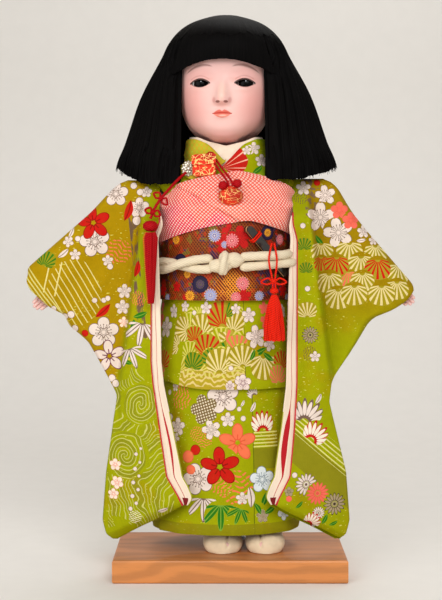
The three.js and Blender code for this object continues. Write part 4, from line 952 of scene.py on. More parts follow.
def draw_bamboo(x, y):
    low = 0.8 - y
    along, across, _ = fold(x / 1.7, low / 1.7, 9)
    shape = oval(along - 0.52, across, 0.46, 0.115)
    fill = (shape < 1) * (low > 0.12)
    return fill, fill * ((abs(across) < 0.018) | (shape > 0.8))


def draw_leaf(x, y):
    off = abs(y - 0.12 * x * x)
    fill = off < 0.36 * (1 - x * x)
    return fill, fill * (off < 0.05)


def draw_dot(x, y):
    reach = far(x, y)
    return reach < 0.98, (reach > 0.86) * (reach < 0.98)


def draw_wave(x, y):
    rows = (y * 3.2 + (x * 6).sin() * 0.35).part() < 0.34
    gaps_between = (x * 2.3 + y * 1.7).part() < 0.78
    fill = rows * gaps_between * ((x * x + y * y) < 0.95)
    return fill, fill * 0


DRAW = {
    draw.__name__.removeprefix("draw_"): draw
    for draw in (
        draw_plum, draw_cherry, draw_petal5, draw_lattice, draw_mum, draw_halfmum, draw_pine, draw_fan,
        draw_bamboo, draw_leaf, draw_dot, draw_wave,
    )
}
# A motif's tint is kept as a small depth, and this place is outside every motif
TINT_STEP = 0.001
OUTSIDE = (9.0, 9.0, 0.0)


def strew(finish, where, ground, kind, runs):
    """Lays motifs of one kind over the ground colour; gives the colour and where they cover it."""
    names = sorted({run[0] for run in runs})
    tints = PINE_TINTS if kind == "pine" else TINTS
    local = OUTSIDE
    for name, motif in ((name, motif) for name, *motifs in runs for motif in motifs):
        across, up, radius, turn = (*motif, 0)[:4]
        on_cloth = {
            "Vector": where, "Location": (across, up, -TINT_STEP * names.index(name)),
            "Rotation": (0, 0, math.radians(turn)), "Scale": (radius, radius, 1),
        }
        spot = finish.out("ShaderNodeMapping", {"vector_type": "TEXTURE"}, on_cloth)
        inside = finish.vector("LENGTH", spot, output="Value") < 1
        local = finish.mix(inside, local, spot, "VECTOR")
    x, y, which = finish.split(local)
    fill, line = DRAW[kind](x, y)
    pick = (which / TINT_STEP + 0.5) / len(names)
    for mask, part in ((fill, 0), (line, 1)):
        colour = paint(*tints[names[0]][part])
        if len(names) > 1:
            stops = [(i / len(names), paint(*tints[n][part])) for i, n in enumerate(names)]
            colour = finish.out("ShaderNodeValToRGB", {"stops": stops}, {0: pick})
        ground = finish.mix(mask, ground, colour)
    return ground, fill


def stripes(x, y, angle, period, width):
    """Parallel lines at an angle."""
    c, s = math.cos(math.radians(angle)), math.sin(math.radians(angle))
    return (x * (c / period) + y * (s / period)).part() < width


def within(x, y, across, up, radius, flat=1.0):
    """A round or oval patch of cloth."""
    return oval(x - across, y - up, radius, radius * flat) < 1


def soft_spot(x, z, across, up, wide, high):
    return oval(x - across, z - up, wide, high).ramp(1.0, 0.0)


def printed_silk(name, table, extras=None, ground=None, repeat=None):
    """Crepe silk with a strewn print over a brushed ground; repeat is half the print's width."""
    finish = Finish(name)
    where, x, y = finish.cut()
    if repeat:
        x = x.wrap(repeat)
        where = finish.combine(x, y)
    look = colours()
    cloudy = finish.noise(where, 0.035, 2.0)
    if ground is None:
        base = finish.mix(cloudy.ramp(0.52, 0.66) * 0.6, look.lime, look.mustard)
    else:
        base = ground(finish, x, y, cloudy, look.lime, look.mustard)
    flecks = finish.noise(where, 0.55, 1.0, stretch=(0.5, 1.6, 1.0))
    base = finish.mix((flecks > 0.69) * (cloudy > 0.5), base, paint(214, 206, 92))
    if extras:
        base = extras(finish, x, y, base)
    for kind, runs in table.items():
        base, _ = strew(finish, where, base, kind, runs)
    worn = finish.noise(where, 0.16, 3.0)
    base = finish.mix(worn.ramp(0.2, 0.9) * 0.16, base, paint(92, 92, 18))
    crinkle = finish.noise(where, 1.5, 2.0, 0.6, stretch=(1.0, 0.55, 1.0))
    normal = finish.bump(crinkle, 0.22, 0.0005)
    return finish.done(base, 0.62 + worn * 0.2, normal, specular_ior_level=0.05)


def sleeve_ground(side):
    """Mustard over the arm, lime on the hanging bag; on the left sleeve the mustard over the arm is darkened
    as painted shade.
    """

    def ground(finish, x, y, cloudy, lime, mustard):
        crease = x * side - (107 - 0.16 * y)
        wing = crease.ramp(-3, 3) * y.ramp(118, 132)
        over_arm = mustard
        if side > 0:
            wing = wing * y.ramp(150, 215)
            # Painted shade: a darker copy of the mustard on the left sleeve.
            over_arm = shade(mustard, 0.82)
        return finish.mix(wing, finish.mix(cloudy.ramp(0.5, 0.65) * 0.4, lime, mustard), over_arm)

    return ground


def right_sleeve_extras(finish, x, y, base):
    """Flowing water on the bag; cream lines, a striped cuff and a strip of bark over the arm."""
    pale, dull, cream = paint(200, 196, 104), paint(124, 122, 34), paint(224, 208, 132)
    sway = finish.noise(finish.combine(x, y), 0.06, 1.0) - 0.5
    for across, up, radius, start in ((-66.0, 117.0, 15.0, 0.2), (-78.0, 77.0, 18.0, 0.6)):
        a, b = (x - across) * 1.15 + sway * 9, y - up + sway * 7
        reach = far(a, b)
        turn = reach / 9.0 + a.angle(b) / (2 * math.pi) + start
        inside = reach < radius
        base = finish.layers(
            base,
            (turn.part().ramp(0.35, 0.6) * inside * 0.5, dull),
            (((turn * 3).part() < 0.2) * inside, pale),
        )
    flow = (y * 0.055 + x * 0.02).sin() * 9 + x * 0.62 - y * 0.1 + sway * 12
    bag = (abs(x + 66) < 26) * (y < 132 + sway * 60) * (y > 24 + sway * 30)
    stream = bag * (1 - (within(x, y, -66, 117, 16) | within(x, y, -78, 77, 19)))
    cuff = stripes(x, y, 36, 2.7, 0.36) * ((x * -0.81 - y * 0.588) > -6.5)
    bark = finish.noise(finish.combine(x, y * 0.35), 0.22, 3.0)
    strip = (abs(x + 71 + (y - 240) * 0.1) < 3.2) * (y > 168) * (y < 262)
    return finish.layers(
        base,
        ((flow / 9).part().ramp(0.5, 0.7) * stream * 0.45, dull),
        (((flow / 2.3).part() < 0.17) * stream, pale),
        (stripes(x, y, 30, 4.4, 0.17) * within(x, y, -118, 202, 21, 1.25), cream),
        (stripes(x, y, 168, 9.0, 0.12) * within(x, y, -134, 214, 12, 1.2), cream),
        (cuff * (y > 186) * (y < 226), paint(216, 206, 118)),
        (strip * bark.ramp(0.45, 0.55), paint(112, 86, 66)),
    )


def left_sleeve_extras(finish, x, y, base):
    """Slanting lines and an olive band on the bag, a strip of bark at the shoulder."""
    along = x * 0.66 + y * 0.75
    lines = ((along / 3.1).part() < 0.3) * (along > 106) * (along < 121)
    bark = finish.noise(finish.combine(x, y), 0.25, 3.0)
    return finish.layers(
        base,
        ((along < 108) * (along > 88) * (y < 116) * (x > 50), paint(140, 134, 22)),
        (lines * (y < 122) * (x > 52), paint(222, 216, 128)),
        ((abs(x - 68) < 7) * (y > 262) * bark.ramp(0.5, 0.56), paint(120, 92, 70)),
    )


def skirt_extras(finish, x, y, base):
    """A banded panel past the front seam, and the darker padded hem."""
    panel = (x > 21.5) * (x < 44)
    return finish.layers(
        base,
        (((y / 2.7).part() < 0.42) * (y > 83) * (y < 97) * panel, paint(222, 216, 120)),
        (panel * (y > 67) * (y < 83), paint(136, 132, 20)),
        ((abs(x - 21.5) < 0.35) * (y < 132), paint(96, 106, 10)),
        ((y < 24.5) * 0.8, paint(134, 126, 14)),
    )


def tuck_extras(finish, x, y, base):
    """Rows of pine fans over a mustard foot, up to a seam."""
    panel = (x < 15) * (x > -52)
    drift = finish.noise(finish.combine(x, y), 0.09, 2.0)
    row = y / 11.0
    a = ((x / 18 + row.floor() * 0.5).part() - 0.5) * 2.0
    _, fans = draw_pine(a, (row.part() - 0.42) * 1.3)
    wave = (x * 0.5).sin() * 0.3 + (x * 1.3).sin() * 0.12 + drift * 1.4
    cloud = ((y / 4.2 + wave).part() < 0.36) * (y < 138 + drift * 14) * (y > 131)
    return finish.layers(
        base,
        (panel * y.ramp(158, 140) * 0.85, paint(180, 152, 40)),
        (fans * panel * (y > 138) * (y < 192), paint(212, 200, 96)),
        (cloud * panel, paint(218, 194, 124)),
        (abs(x - 15) < 0.3, paint(110, 104, 20)),
    )


def collar_ground(finish, x, y, cloudy, lime, mustard):
    """The collar's lime, clouded with a deeper green."""
    return finish.mix(cloudy.ramp(0.45, 0.6), lime, paint(112, 140, 14))


def gold_lattice(finish, x, y, base):
    """A lattice of gold lines on yellow-green."""
    lines = stripes(x, y, 35, 3.1, 0.26) | stripes(x, y, 145, 3.1, 0.26)
    return finish.layers(base, (0.45, paint(206, 200, 70)), (lines * 0.8, paint(206, 156, 40)))


def plain_silk(name, colour, shaded=0.8):
    """Plain woven silk with a faint twill."""
    finish = Finish(name)
    where, x, y, z = finish.axes()
    weave = ((x + y) * 2.0).sin() * ((z + x * 0.4) * 2.0).sin()
    cloudy = finish.noise(where, 0.14, 3.0)
    base = finish.mix(cloudy.ramp(0.3, 0.75) * 0.45, colour, shade(colour, shaded))
    normal = finish.bump(weave + cloudy * 2, 0.12, 0.0004)
    return finish.done(base, 0.5 + cloudy * 0.25, normal, sheen_weight=0.15, specular_ior_level=0.35)


def lining_finish(name, colour, red, parting):
    """White lining in two layers, red between them towards the sleeve's foot, that red a little darkened as
    painted shade, and a dark red painted shadow in the opening at the foot.
    """
    finish = Finish(name)
    _, across, up = finish.cut()
    sway = (up * 0.09).sin() * 0.6
    streak = finish.noise(finish.combine(across * 0.8, up * 0.02), 1.0, 3.0)
    gap = abs(across - 5.2 - sway) < up.ramp(118, 98) * up.ramp(56, 84) * parting + 0.2
    base = finish.layers(
        colour,
        (streak.ramp(0.35, 0.7) * 0.5, shade(colour, 0.78)),
        # The red between the layers, a little darkened as painted shade.
        (gap, shade(red, 0.8)),
        ((across > 9.3) * (up < 112), paint(168, 166, 40)),
        # Painted shadow in the opening at the sleeve's foot.
        ((up < 46.5) * (abs(across - 5) < 2.2), shade(red, 0.3)),
    )
    normal = finish.bump(streak - gap, 0.25, 0.0005)
    return finish.done(base, 0.55 + streak * 0.2, normal, sheen_weight=0.08, specular_ior_level=0.25)


def thread_silk(name, colour, fine=False):
    """Twisted silk thread: fine slanting ridges, with painted shade in the hollows between them."""
    finish = Finish(name)
    where, x, y, z = finish.axes()
    ridge = ((x * 2.2 + z * 4.4 + y * 1.3).sin() + 1) * 0.5
    hairs = finish.noise(where, 0.9, 3.0, stretch=(3.0, 3.0, 0.4))
    # Painted shade: the thread's colour darkened in the hollows between the ridges.
    hollow = shade(colour, 0.85 if fine else 0.55)
    base = finish.layers(
        hollow, (ridge.ramp(0.0, 0.8), colour), (hairs.ramp(0.5, 0.8) * 0.3, shade(colour, 1.4))
    )
    normal = finish.bump(ridge + hairs, 0.35, 0.0005)
    return finish.done(base, 0.45 + hairs * 0.25, normal, specular_ior_level=0.12)


def wood_finish():
    finish = Finish("oiled_board")
    where, _, y, z = finish.axes()
    look = colours().wood
    sway = finish.noise(where, 0.02, 3.0, stretch=(0.35, 1.0, 1.0))
    rings = ((y * 0.34 + z * 0.5 + sway * 26).sin() + 1) * 0.5
    pores = finish.noise(where, 0.8, 3.0, 0.7, stretch=(0.05, 1.4, 1.4))
    base = finish.layers(
        look,
        (rings.ramp(0.1, 0.95) * 0.6, shade(look, 0.66)),
        (pores.ramp(0.55, 0.78) * 0.5, shade(look, 0.42)),
        # Painted shade: the board's top is darker.
        ((z > -0.9) * 0.25, paint(126, 62, 26)),
    )
    normal = finish.bump(pores - rings * 0.3, 0.18, 0.0006)
    return finish.done(base, 0.42 + pores * 0.22, normal, coat_weight=0.12)


def metal_finish(name, colour, rough):
    finish = Finish(name)
    brushed = finish.noise(finish.body(), 0.5, 3.0, stretch=(1.0, 1.0, 0.1))
    base = finish.mix(brushed.ramp(0.3, 0.7), colour, shade(colour, 0.7))
    return finish.done(base, rough + brushed * 0.15, finish.bump(brushed, 0.08, 0.0003), 1.0)


def moulded_finish(name, face=False):
    """Polished shell-white, and on the head the painted features."""
    finish = Finish(name)
    look = colours()
    where = finish.body()
    cloudy = finish.noise(where, 0.05, 3.0)
    base = finish.mix(cloudy.ramp(0.35, 0.7) * 0.3, look.skin, shade(look.skin, 0.93))
    if face:
        spin = {"Vector": where, "Center": (0, HEAD_Y, 0), "Angle": math.radians(-HEAD_TURN)}
        own = finish.out("ShaderNodeVectorRotate", {"rotation_type": "Z_AXIS"}, spin)
        base = paint_face(finish, own, base, look.blush, look.lips)
    fine = finish.noise(where, 0.7, 2.0)
    return finish.done(
        base, 0.42 + fine * 0.08, finish.bump(fine, 0.03, 0.0004), subsurface_weight=0.12,
        subsurface_scale=0.004, subsurface_radius=(1.0, 0.35, 0.25), coat_weight=0.05,
        specular_ior_level=0.28,
    )


def paint_face(finish, own, base, blush, lips):
    """Blush, brows, lash lines, nostrils and lips in the face's own frame, with painted shade under the
    fringe, under the jaw, round the foot of the nose and in the lid creases, and painted highlights on the
    nose and the lower lip.
    """
    x, y, z = finish.split(own)
    side, front = abs(x), y.ramp(-4, -16)
    t = (side - 18.0) / 9.4
    brow = z - (376.4 - t * t * 2.6 - t * 2.2)
    ink = (abs(brow) / (1.7 - abs(t) * 0.9)).ramp(1.2, 0.0) * abs(t).ramp(1.2, 0.85)
    a = (side - EYE_X) / (EYE_WIDTH / 2)
    arch = EYE_HEIGHT / 2 * (1 - a * a)
    lid, under = z - (EYE_Z + arch), z - (EYE_Z - arch)
    lash = (abs(lid - 0.35) < 0.7) * (abs(a) < 1.06)
    crease = (abs(lid - 2.8) / 0.9).ramp(1.0, 0.0) * (abs(a) < 0.95)
    nostril = soft_spot(side, z, 3.1, NOSE_Z - 1.9, 2.2, 1.2).ramp(0.1, 0.7)
    m = x / 7.3
    bow = 1 - m * m
    parting = z - (MOUTH_Z - 0.2 + 0.35 * bow)
    upper = bow * 3.0 - 1.15 * (1 - abs(m) * 3.4).ramp(0.0, 1.0)
    edge = ((upper - parting) & (parting + bow * 3.7)).ramp(-0.15, 0.5) * (abs(m) < 1) * front
    # Painted highlight on the lower lip.
    painted_shine = soft_spot(x, z, 0.6, MOUTH_Z - 1.9, 4, 1.1)
    return finish.layers(
        base,
        (soft_spot(side, z, 31, 343, 24, 30) * 0.42 * front, blush),
        # Painted shade under the jaw: the chin darkens towards the neck.
        (z.ramp(332, 316) * 0.6, shade(blush, 0.9)),
        # Painted shadow of the fringe: the forehead darkens towards the hair.
        (z.ramp(358, 382) * 0.5, paint(196, 152, 150)),
        (soft_spot(side, z, EYE_X, EYE_Z + 5, 15, 9) * 0.22 * front, shade(blush, 0.9)),
        # Painted shade round the foot of the nose.
        (soft_spot(x, z, 0, NOSE_Z - 2, 8, 5) * 0.2 * front, shade(blush, 0.85)),
        # Painted highlight down the bridge of the nose.
        (soft_spot(x, z, 0, 356, 4, 11) * 0.3 * front, paint(246, 208, 182)),
        (ink * 0.78 * front, paint(122, 82, 72)),
        (lash * 0.92 * front, paint(34, 20, 16)),
        # Painted shade along the crease above each upper lid.
        (crease * 0.35 * front, shade(blush, 0.6)),
        ((abs(under + 0.1) < 0.3) * (abs(a) < 0.98) * 0.55 * front, paint(120, 70, 60)),
        # Painted shade beside the wings of the nose.
        (soft_spot(side, z, 6.2, NOSE_Z - 0.4, 1.8, 3.0) * 0.4 * front, shade(blush, 0.7)),
        (nostril * 0.8 * front, paint(112, 50, 40)),
        (edge * 0.88, lips),
        (edge * (parting < -0.3) * 0.4, paint(240, 150, 126)),
        # The painted highlight on the lower lip.
        (edge * painted_shine * 0.6, paint(250, 205, 188)),
        ((abs(parting) < 0.42) * (abs(m) < 1.02) * front, paint(176, 40, 22)),
    )


def eye_finish(sign, word):
    """A glass eye: black iris, whites that grey towards the lids as painted shade, and a painted highlight on
    the iris.
    """
    finish = Finish("glass_eye_" + word)
    where = finish.body()
    centre = faced(eye_centre(sign))
    x, _, z = finish.split(finish.vector("SUBTRACT", where, tuple(centre)))
    reach = far(x, z)
    black = finish.mix(reach.ramp(2.6, 5.6), paint(3, 3, 3), paint(15, 9, 7))
    up = z - 1.9
    base = finish.layers(
        paint(206, 204, 202),
        # Painted shade: the whites grey towards the lids.
        (reach.ramp(5.0, 7.6), paint(150, 140, 136)),
        (reach < 5.6, black),
        # Painted highlight: a small pale dot high on the iris.
        (x * x + up * up < 0.16, paint(200, 205, 210)),
    )
    fine = finish.noise(where, 1.0, 2.0)
    return finish.done(base, 0.16 + fine * 0.05, coat_weight=0.02, specular_ior_level=0.05)


def hair_finish():
    finish = Finish("silk_hair")
    _, x, y, z = finish.axes()
    look = colours().hair
    angle = x.angle(y - HEAD_Y)
    streak = finish.noise(finish.combine(angle * 34, z * 0.03), 1.0, 4.0, 0.7)
    # Painted sheen: a brown glint over the strands on the crown.
    crown = z.ramp(392, 418) * streak.ramp(0.3, 0.8) * 0.5
    base = finish.layers(
        shade(look, 0.6), (streak.ramp(0.35, 0.7), shade(look, 1.6)), (crown, paint(22, 16, 12))
    )
    normal = finish.bump(streak, 0.35, 0.0008)
    return finish.done(base, 0.5 + streak * 0.2, normal, specular_ior_level=0.035, anisotropic=0.4)


def brocade_finish(name, table, on_body=False):
    """Woven sash: slanting gold lattice on copper brown with strewn flowers; the gold carries a painted
    highlight at the front.
    """
    finish = Finish(name)
    look = colours()
    if on_body:
        _, x, _, y = finish.axes()
    else:
        _, x, y = finish.cut()
        x = x.wrap(60)
    where = finish.combine(x, y)
    cloudy = finish.noise(where, 0.05, 2.0)
    red, blue, green = finish.split(finish.noise(where, 0.16, 2.0, output="Color"))
    sides = abs(x - 2).ramp(8, 22)
    one = ((x * 0.6 + y * 0.5) / 1.5).part()
    two = ((x * 0.6 - y * 0.5) / 1.5).part()
    lattice = (one < 0.34) | (two < 0.26) * (cloudy > 0.45)
    # Painted highlight: the gold lattice is brighter in a soft spot at the front, and fades towards the
    # doll's left, where the ground darkens too.
    painted_highlight = soft_spot(x, y, 1, 208, 26, 16)
    painted_shine = lattice * (0.5 + painted_highlight * 0.5) * (1 - x.ramp(14, 44) * 0.6)
    base = finish.layers(
        look.brocade,
        (cloudy.ramp(0.4, 0.7), paint(78, 28, 14)),
        (x.ramp(14, 46) * 0.75, paint(46, 20, 14)),
        ((red > 0.56) * sides, paint(160, 20, 18)),
        ((blue > 0.59) * sides, paint(44, 32, 76)),
        ((green > 0.62) * sides, paint(96, 92, 30)),
        (painted_shine, finish.mix(painted_highlight, shade(look.gold, 0.7), paint(244, 158, 44))),
    )
    thread = ((x * 3.1).sin() * (y * 3.1).sin() + 1) * 0.5
    metal = painted_shine * 0.2
    for kind, runs in table.items():
        base, fill = strew(finish, where, base, kind, runs)
        metal = metal * (1 - fill)
    base = finish.mix(thread.ramp(0.5, 1.0) * 0.22, base, shade(look.brocade, 0.3))
    normal = finish.bump(thread * 0.6 + lattice * 0.7, 0.35, 0.0006)
    return finish.done(base, 0.52 - metal * 0.2, normal, metal, specular_ior_level=0.15)


DOT_STEP = 1.95


def scarf_finish(name, colour, other):
    """Tie-dyed scarf: a white dot on every drawn-up peak, and painted shade in the hollows between the peaks.
    """
    finish = Finish(name)
    where, x, y = finish.cut()
    one, two = (x + y) / (DOT_STEP * 1.414), (x - y) / (DOT_STEP * 1.414)
    away = far(one.part() - 0.5, two.part() - 0.5)
    uneven = finish.noise(where, 0.3, 2.0)
    dot = (away + (uneven - 0.5) * 0.12).ramp(0.42, 0.27)
    base = finish.layers(
        colour,
        (finish.noise(where, 0.035, 2.0).ramp(0.42, 0.62), other),
        # Painted shade in the hollows between the drawn-up peaks.
        (away.ramp(0.5, 0.7) * 0.35, shade(colour, 0.6)),
        (dot * 0.9, paint(248, 208, 194)),
    )
    fine = finish.noise(where, 2.2, 2.0)
    normal = finish.bump(fine, 0.2, 0.0004)
    return finish.done(base, 0.7 + fine * 0.15, normal, sheen_weight=0.15, specular_ior_level=0.25)


def gilt_finish(name, scale, lines=1.0):
    """Red silk with gold meander, for the wallet and the pouch."""
    finish = Finish(name)
    where, x, _, z = finish.axes()
    red = colours().wallet
    one = finish.noise(where, scale, 1.0)
    two = finish.noise(finish.vector("ADD", where, (31.0, 7.0, 13.0)), scale * 1.3, 1.0)
    gold = (abs(one - 0.5) < 0.024 * lines) | (abs(two - 0.5) < 0.018 * lines)
    patches = finish.noise(where, scale * 0.4, 2.0).ramp(0.45, 0.6)
    base = finish.layers(red, (patches, shade(red, 0.6)), (gold, paint(246, 200, 120)))
    weave = ((x * 5).sin() * (z * 5).sin() + 1) * 0.5
    normal = finish.bump(weave * 0.5 + gold, 0.3, 0.0005)
    return finish.done(base, 0.5 - gold * 0.15, normal, gold * 0.2, specular_ior_level=0.2)


def cotton_finish(name, colour):
    """Plain-weave cotton."""
    finish = Finish(name)
    where, x, y, z = finish.axes()
    weave = ((x * 4).sin() * (z * 4).sin() + (y * 4).sin() * (z * 4).cos() + 2) * 0.25
    worn = finish.noise(where, 0.12, 3.0)
    base = finish.mix(worn.ramp(0.35, 0.75) * 0.5, colour, shade(colour, 0.78))
    normal = finish.bump(weave + worn, 0.2, 0.0005)
    return finish.done(base, 0.8 + weave * 0.1, normal, sheen_weight=0.1, specular_ior_level=0.25)


def lacquer_finish():
    finish = Finish("black_lacquer")
    haze = finish.noise(finish.body(), 0.3, 3.0)
    base = finish.mix(haze.ramp(0.4, 0.8) * 0.5, colours().lacquer, paint(62, 44, 30))
    return finish.done(base, 0.16 + haze * 0.16, finish.bump(haze, 0.05, 0.0004), coat_weight=0.5)


def silver_finish():
    finish = Finish("silver_beads")
    tarnish = finish.noise(finish.body(), 0.6, 3.0)
    base = finish.mix(tarnish.ramp(0.4, 0.7), paint(226, 220, 206), paint(150, 132, 104))
    return finish.done(base, 0.25 + tarnish * 0.3, finish.bump(tarnish, 0.2, 0.0004), 0.85)


# Pieces


def paint_node(name, finish):
    """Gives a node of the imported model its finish."""
    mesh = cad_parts[name].data
    for i in range(len(mesh.materials)):
        mesh.materials[i] = finish


# The camera stands a little to the side, in metres
VIEW_X = -0.007


def make_stage():
    scene = bpy.context.scene
    wanted = sizes()
    scene.view_settings.view_transform = "Standard"
    world = bpy.data.worlds.new("studio")
    scene.world = world
    world.use_nodes = True
    nodes, links = world.node_tree.nodes, world.node_tree.links
    kinds = ("Background", "LightPath", "Math", "Math", "MixShader")
    seen, rays, either, both, shown = (nodes.new("ShaderNode" + kind) for kind in kinds)
    lit = nodes["Background"]
    lit.inputs["Color"].default_value, lit.inputs["Strength"].default_value = (1.0, 0.98, 0.95, 1), 0.42
    seen.inputs["Color"].default_value = colours().floor
    for source, socket in (
        (rays.outputs["Is Camera Ray"], either.inputs[0]), (rays.outputs["Is Glossy Ray"], either.inputs[1]),
        (either.outputs[0], both.inputs[0]), (rays.outputs["Is Transmission Ray"], both.inputs[1]),
        (both.outputs[0], shown.inputs[0]), (lit.outputs[0], shown.inputs[1]),
        (seen.outputs[0], shown.inputs[2]), (shown.outputs[0], nodes["World Output"].inputs["Surface"]),
    ):
        links.new(source, socket)
    data = bpy.data.cameras.new("camera")
    data.lens, data.sensor_width = wanted.lens, 36
    camera = bpy.data.objects.new("camera", data)
    scene.collection.objects.link(camera)
    camera.location = (VIEW_X, -wanted.camera_distance, wanted.camera_height)
    aim = Vector((VIEW_X, 0, wanted.aim_height))
    camera.rotation_euler = (aim - camera.location).to_track_quat("-Z", "Y").to_euler()
    scene.camera = camera
    lights = (
        ("key", (0.25, -1.35, 1.0), 0.8, 12.5), ("fill", (-0.75, -1.15, 0.6), 0.9, 8.0),
        ("rim", (0.2, 0.5, 1.3), 0.8, 6.0),
    )
    for name, where, wide, power in lights:
        lamp = bpy.data.objects.new(name, bpy.data.lights.new(name, "AREA"))
        lamp.data.size, lamp.data.energy = wide, power
        scene.collection.objects.link(lamp)
        lamp.location = where
        lamp.rotation_euler = (Vector((0, 0, 0.2)) - lamp.location).to_track_quat("-Z", "Y").to_euler()
    finish = Finish("studio_floor")
    grain = finish.noise(finish.body(), 0.05, 2.0)
    pale = colours().floor
    base = finish.mix(grain.ramp(0.3, 0.7) * 0.3, pale, shade(pale, 0.95))
    material = finish.done(base, 0.85 + grain * 0.1, None, specular_ior_level=0.2, open_back=True)
    across = np.linspace(-2.5, 2.5, 13)
    turn = np.radians(np.linspace(0, 90, 13))
    line = [(-2.5, 0.0)] + [(0.55 + 0.5 * math.sin(t), 0.5 - 0.5 * math.cos(t)) for t in turn] + [(1.05, 2.6)]
    points = [(x, y, z) for y, z in line for x in across]
    index = np.arange(len(points)).reshape(len(line), len(across))
    mesh = bpy.data.meshes.new("backdrop")
    mesh.from_pydata(points, [], np.stack(corners(index), -1).reshape(-1, 4).tolist())
    mesh.shade_smooth()
    mesh.materials.append(material)
    backdrop = bpy.data.objects.new("backdrop", mesh)
    scene.collection.objects.link(backdrop)


def make_stand():
    paint_node("stand_base", wood_finish())
    steel = metal_finish("steel", paint(186, 190, 194), 0.32)
    paint_node("stand_post", steel)
    paint_node("post_flange", steel)


CORD_TWIST = {"ridges": 3, "twist": 0.55, "depth": 0.1}


def make_cord(name, path, radius, finish, slot, body, node, with_pieces):
    """A free cord as a twisted tube along its path."""
    form = skin_over(rings_along(path, radius, 12, **CORD_TWIST))
    item = fitted(name, form, finish, body, slot, node)
    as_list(with_pieces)


def bow_of_cord(centre, reach, radius, lean=0.0):
    """Points and faces of a small bow: two loops and a tie."""
    parts = []
    for side in (1, -1):
        route = [
            (side * 0.8, 0.4, 0), (side * reach * 0.5, -0.6, 2.4), (side * reach, 0, -0.6),
            (side * reach * 0.5, 0.5, -2.3), (side * 0.8, 0.6, -0.6),
        ]
        path = rotate(path_through(route, 26), y=lean) + centre
        parts.append(rounded_tube(path, radius, 8, **CORD_TWIST))
    parts.append(blob(centre, (2.0, 1.9, 1.9), 16, 10))
    return merged(parts)


FAN_CORD_TOP = np.array([35.2, -54.3, 241.0])
TASSEL_TOP = FAN_CORD_TOP + (1.0, 0, -39.0)


def make_hanging_cords():
    look = colours()
    thick = sizes().cord_radius / MM
    orange = thread_silk("orange_cord", look.orange)
    crimson = thread_silk("crimson_cord", look.crimson)
    bow_z = TASSEL_TOP[2] + 10.1
    x, y, z = FAN_CORD_TOP
    form = bow_of_cord((x + 0.6, y, bow_z), 9.5, thick)
    bow = fitted("fan_cord_bow", form, orange, "fan_tassel", "orange_silk")
    for side, name, extra in ((1, "fan_cord_a", [bow]), (-1, "fan_cord_b", [])):
        route = [
            (x + side * 1.0, y, z), (x + side * 3.0, y, z - 13), (x + 0.6 + side * 1.1, y - 0.4, bow_z + 2),
            (x + 1 + side * 1.0, y, TASSEL_TOP[2] + 5.2),
        ]
        path = path_through(route, 40)
        make_cord(name, path, thick, orange, "orange_silk", "fan_tassel", "fan_cord", extra)
    top = on_trunk(-24, 308.5, 6.6)
    low = np.array([2.9, -52.2, 285.2])
    balls = [blob(low + (s * 5.4, -0.8, s * 0.7), (3.7, 3.4, 3.6), 26, 18, braid) for s in (1, -1)]
    balls.append(blob(top + (-0.4, -1.2, 0.6), (3.2, 2.4, 2.6), 24, 16, braid))
    knots = fitted("pouch_knots", merged(balls), crimson, "doll", "crimson_silk")
    for side, name, extra in ((-1, "pouch_cord_a", [knots]), (1, "pouch_cord_b", [])):
        apart = np.array([side * 1.6, 0, 0])
        middle = lerp(top, low, 0.5) + apart + (0, -1.6, 0.6)
        route = [top + apart, middle, low + apart + (0, 0, 1.2), low + apart * 0.7 + (0, 0.6, -3)]
        path = path_through(route, 40)
        make_cord(name, path, 0.95, crimson, "crimson_silk", "doll", "pouch_cord", extra)
    route = [
        on_trunk(-38, 297, 6.2), (-36, -33.5, 290.5), (-43, -42.5, 282.5), (-49, -46.5, 275.5),
        (-54.5, -48.5, 267), (-57.5, -49, 259.4),
    ]
    high_bow = bow_of_cord((-49.5, -46.6, 275.0), 6.5, 0.9, 40)
    low_bow = bow_of_cord((-55.6, -49.8, 264.5), 6.0, 0.9, 20)
    bows = fitted("side_cord_bows", merged([high_bow, low_bow]), crimson, "doll", "crimson_silk")
    path = path_through(route, 60)
    make_cord("side_cord_line", path, 1.2, crimson, "crimson_silk", "doll", "side_cord", [bows])


def braid(unit):
    """A braided ball: slanting ridges over a round form."""
    angle = np.arctan2(unit[..., 0], -unit[..., 1])
    lift = np.arcsin(np.clip(unit[..., 2], -1, 1))
    ridge = np.abs(np.sin(4 * angle + 5 * lift)) * np.abs(np.sin(4 * angle - 5 * lift))
    return unit * (0.92 + 0.09 * ridge * np.cos(lift))[..., None]


def ribbed(count, base, depth, upright=True):
    """A shape with ribs that run up a rounded form, or from its front to its back."""

    def shape(unit):
        x, y, z = np.moveaxis(unit, -1, 0)
        angle = np.arctan2(x, -y) if upright else np.arctan2(z, x)
        return unit * (base + depth * np.cos(count * angle))[..., None]

    return shape


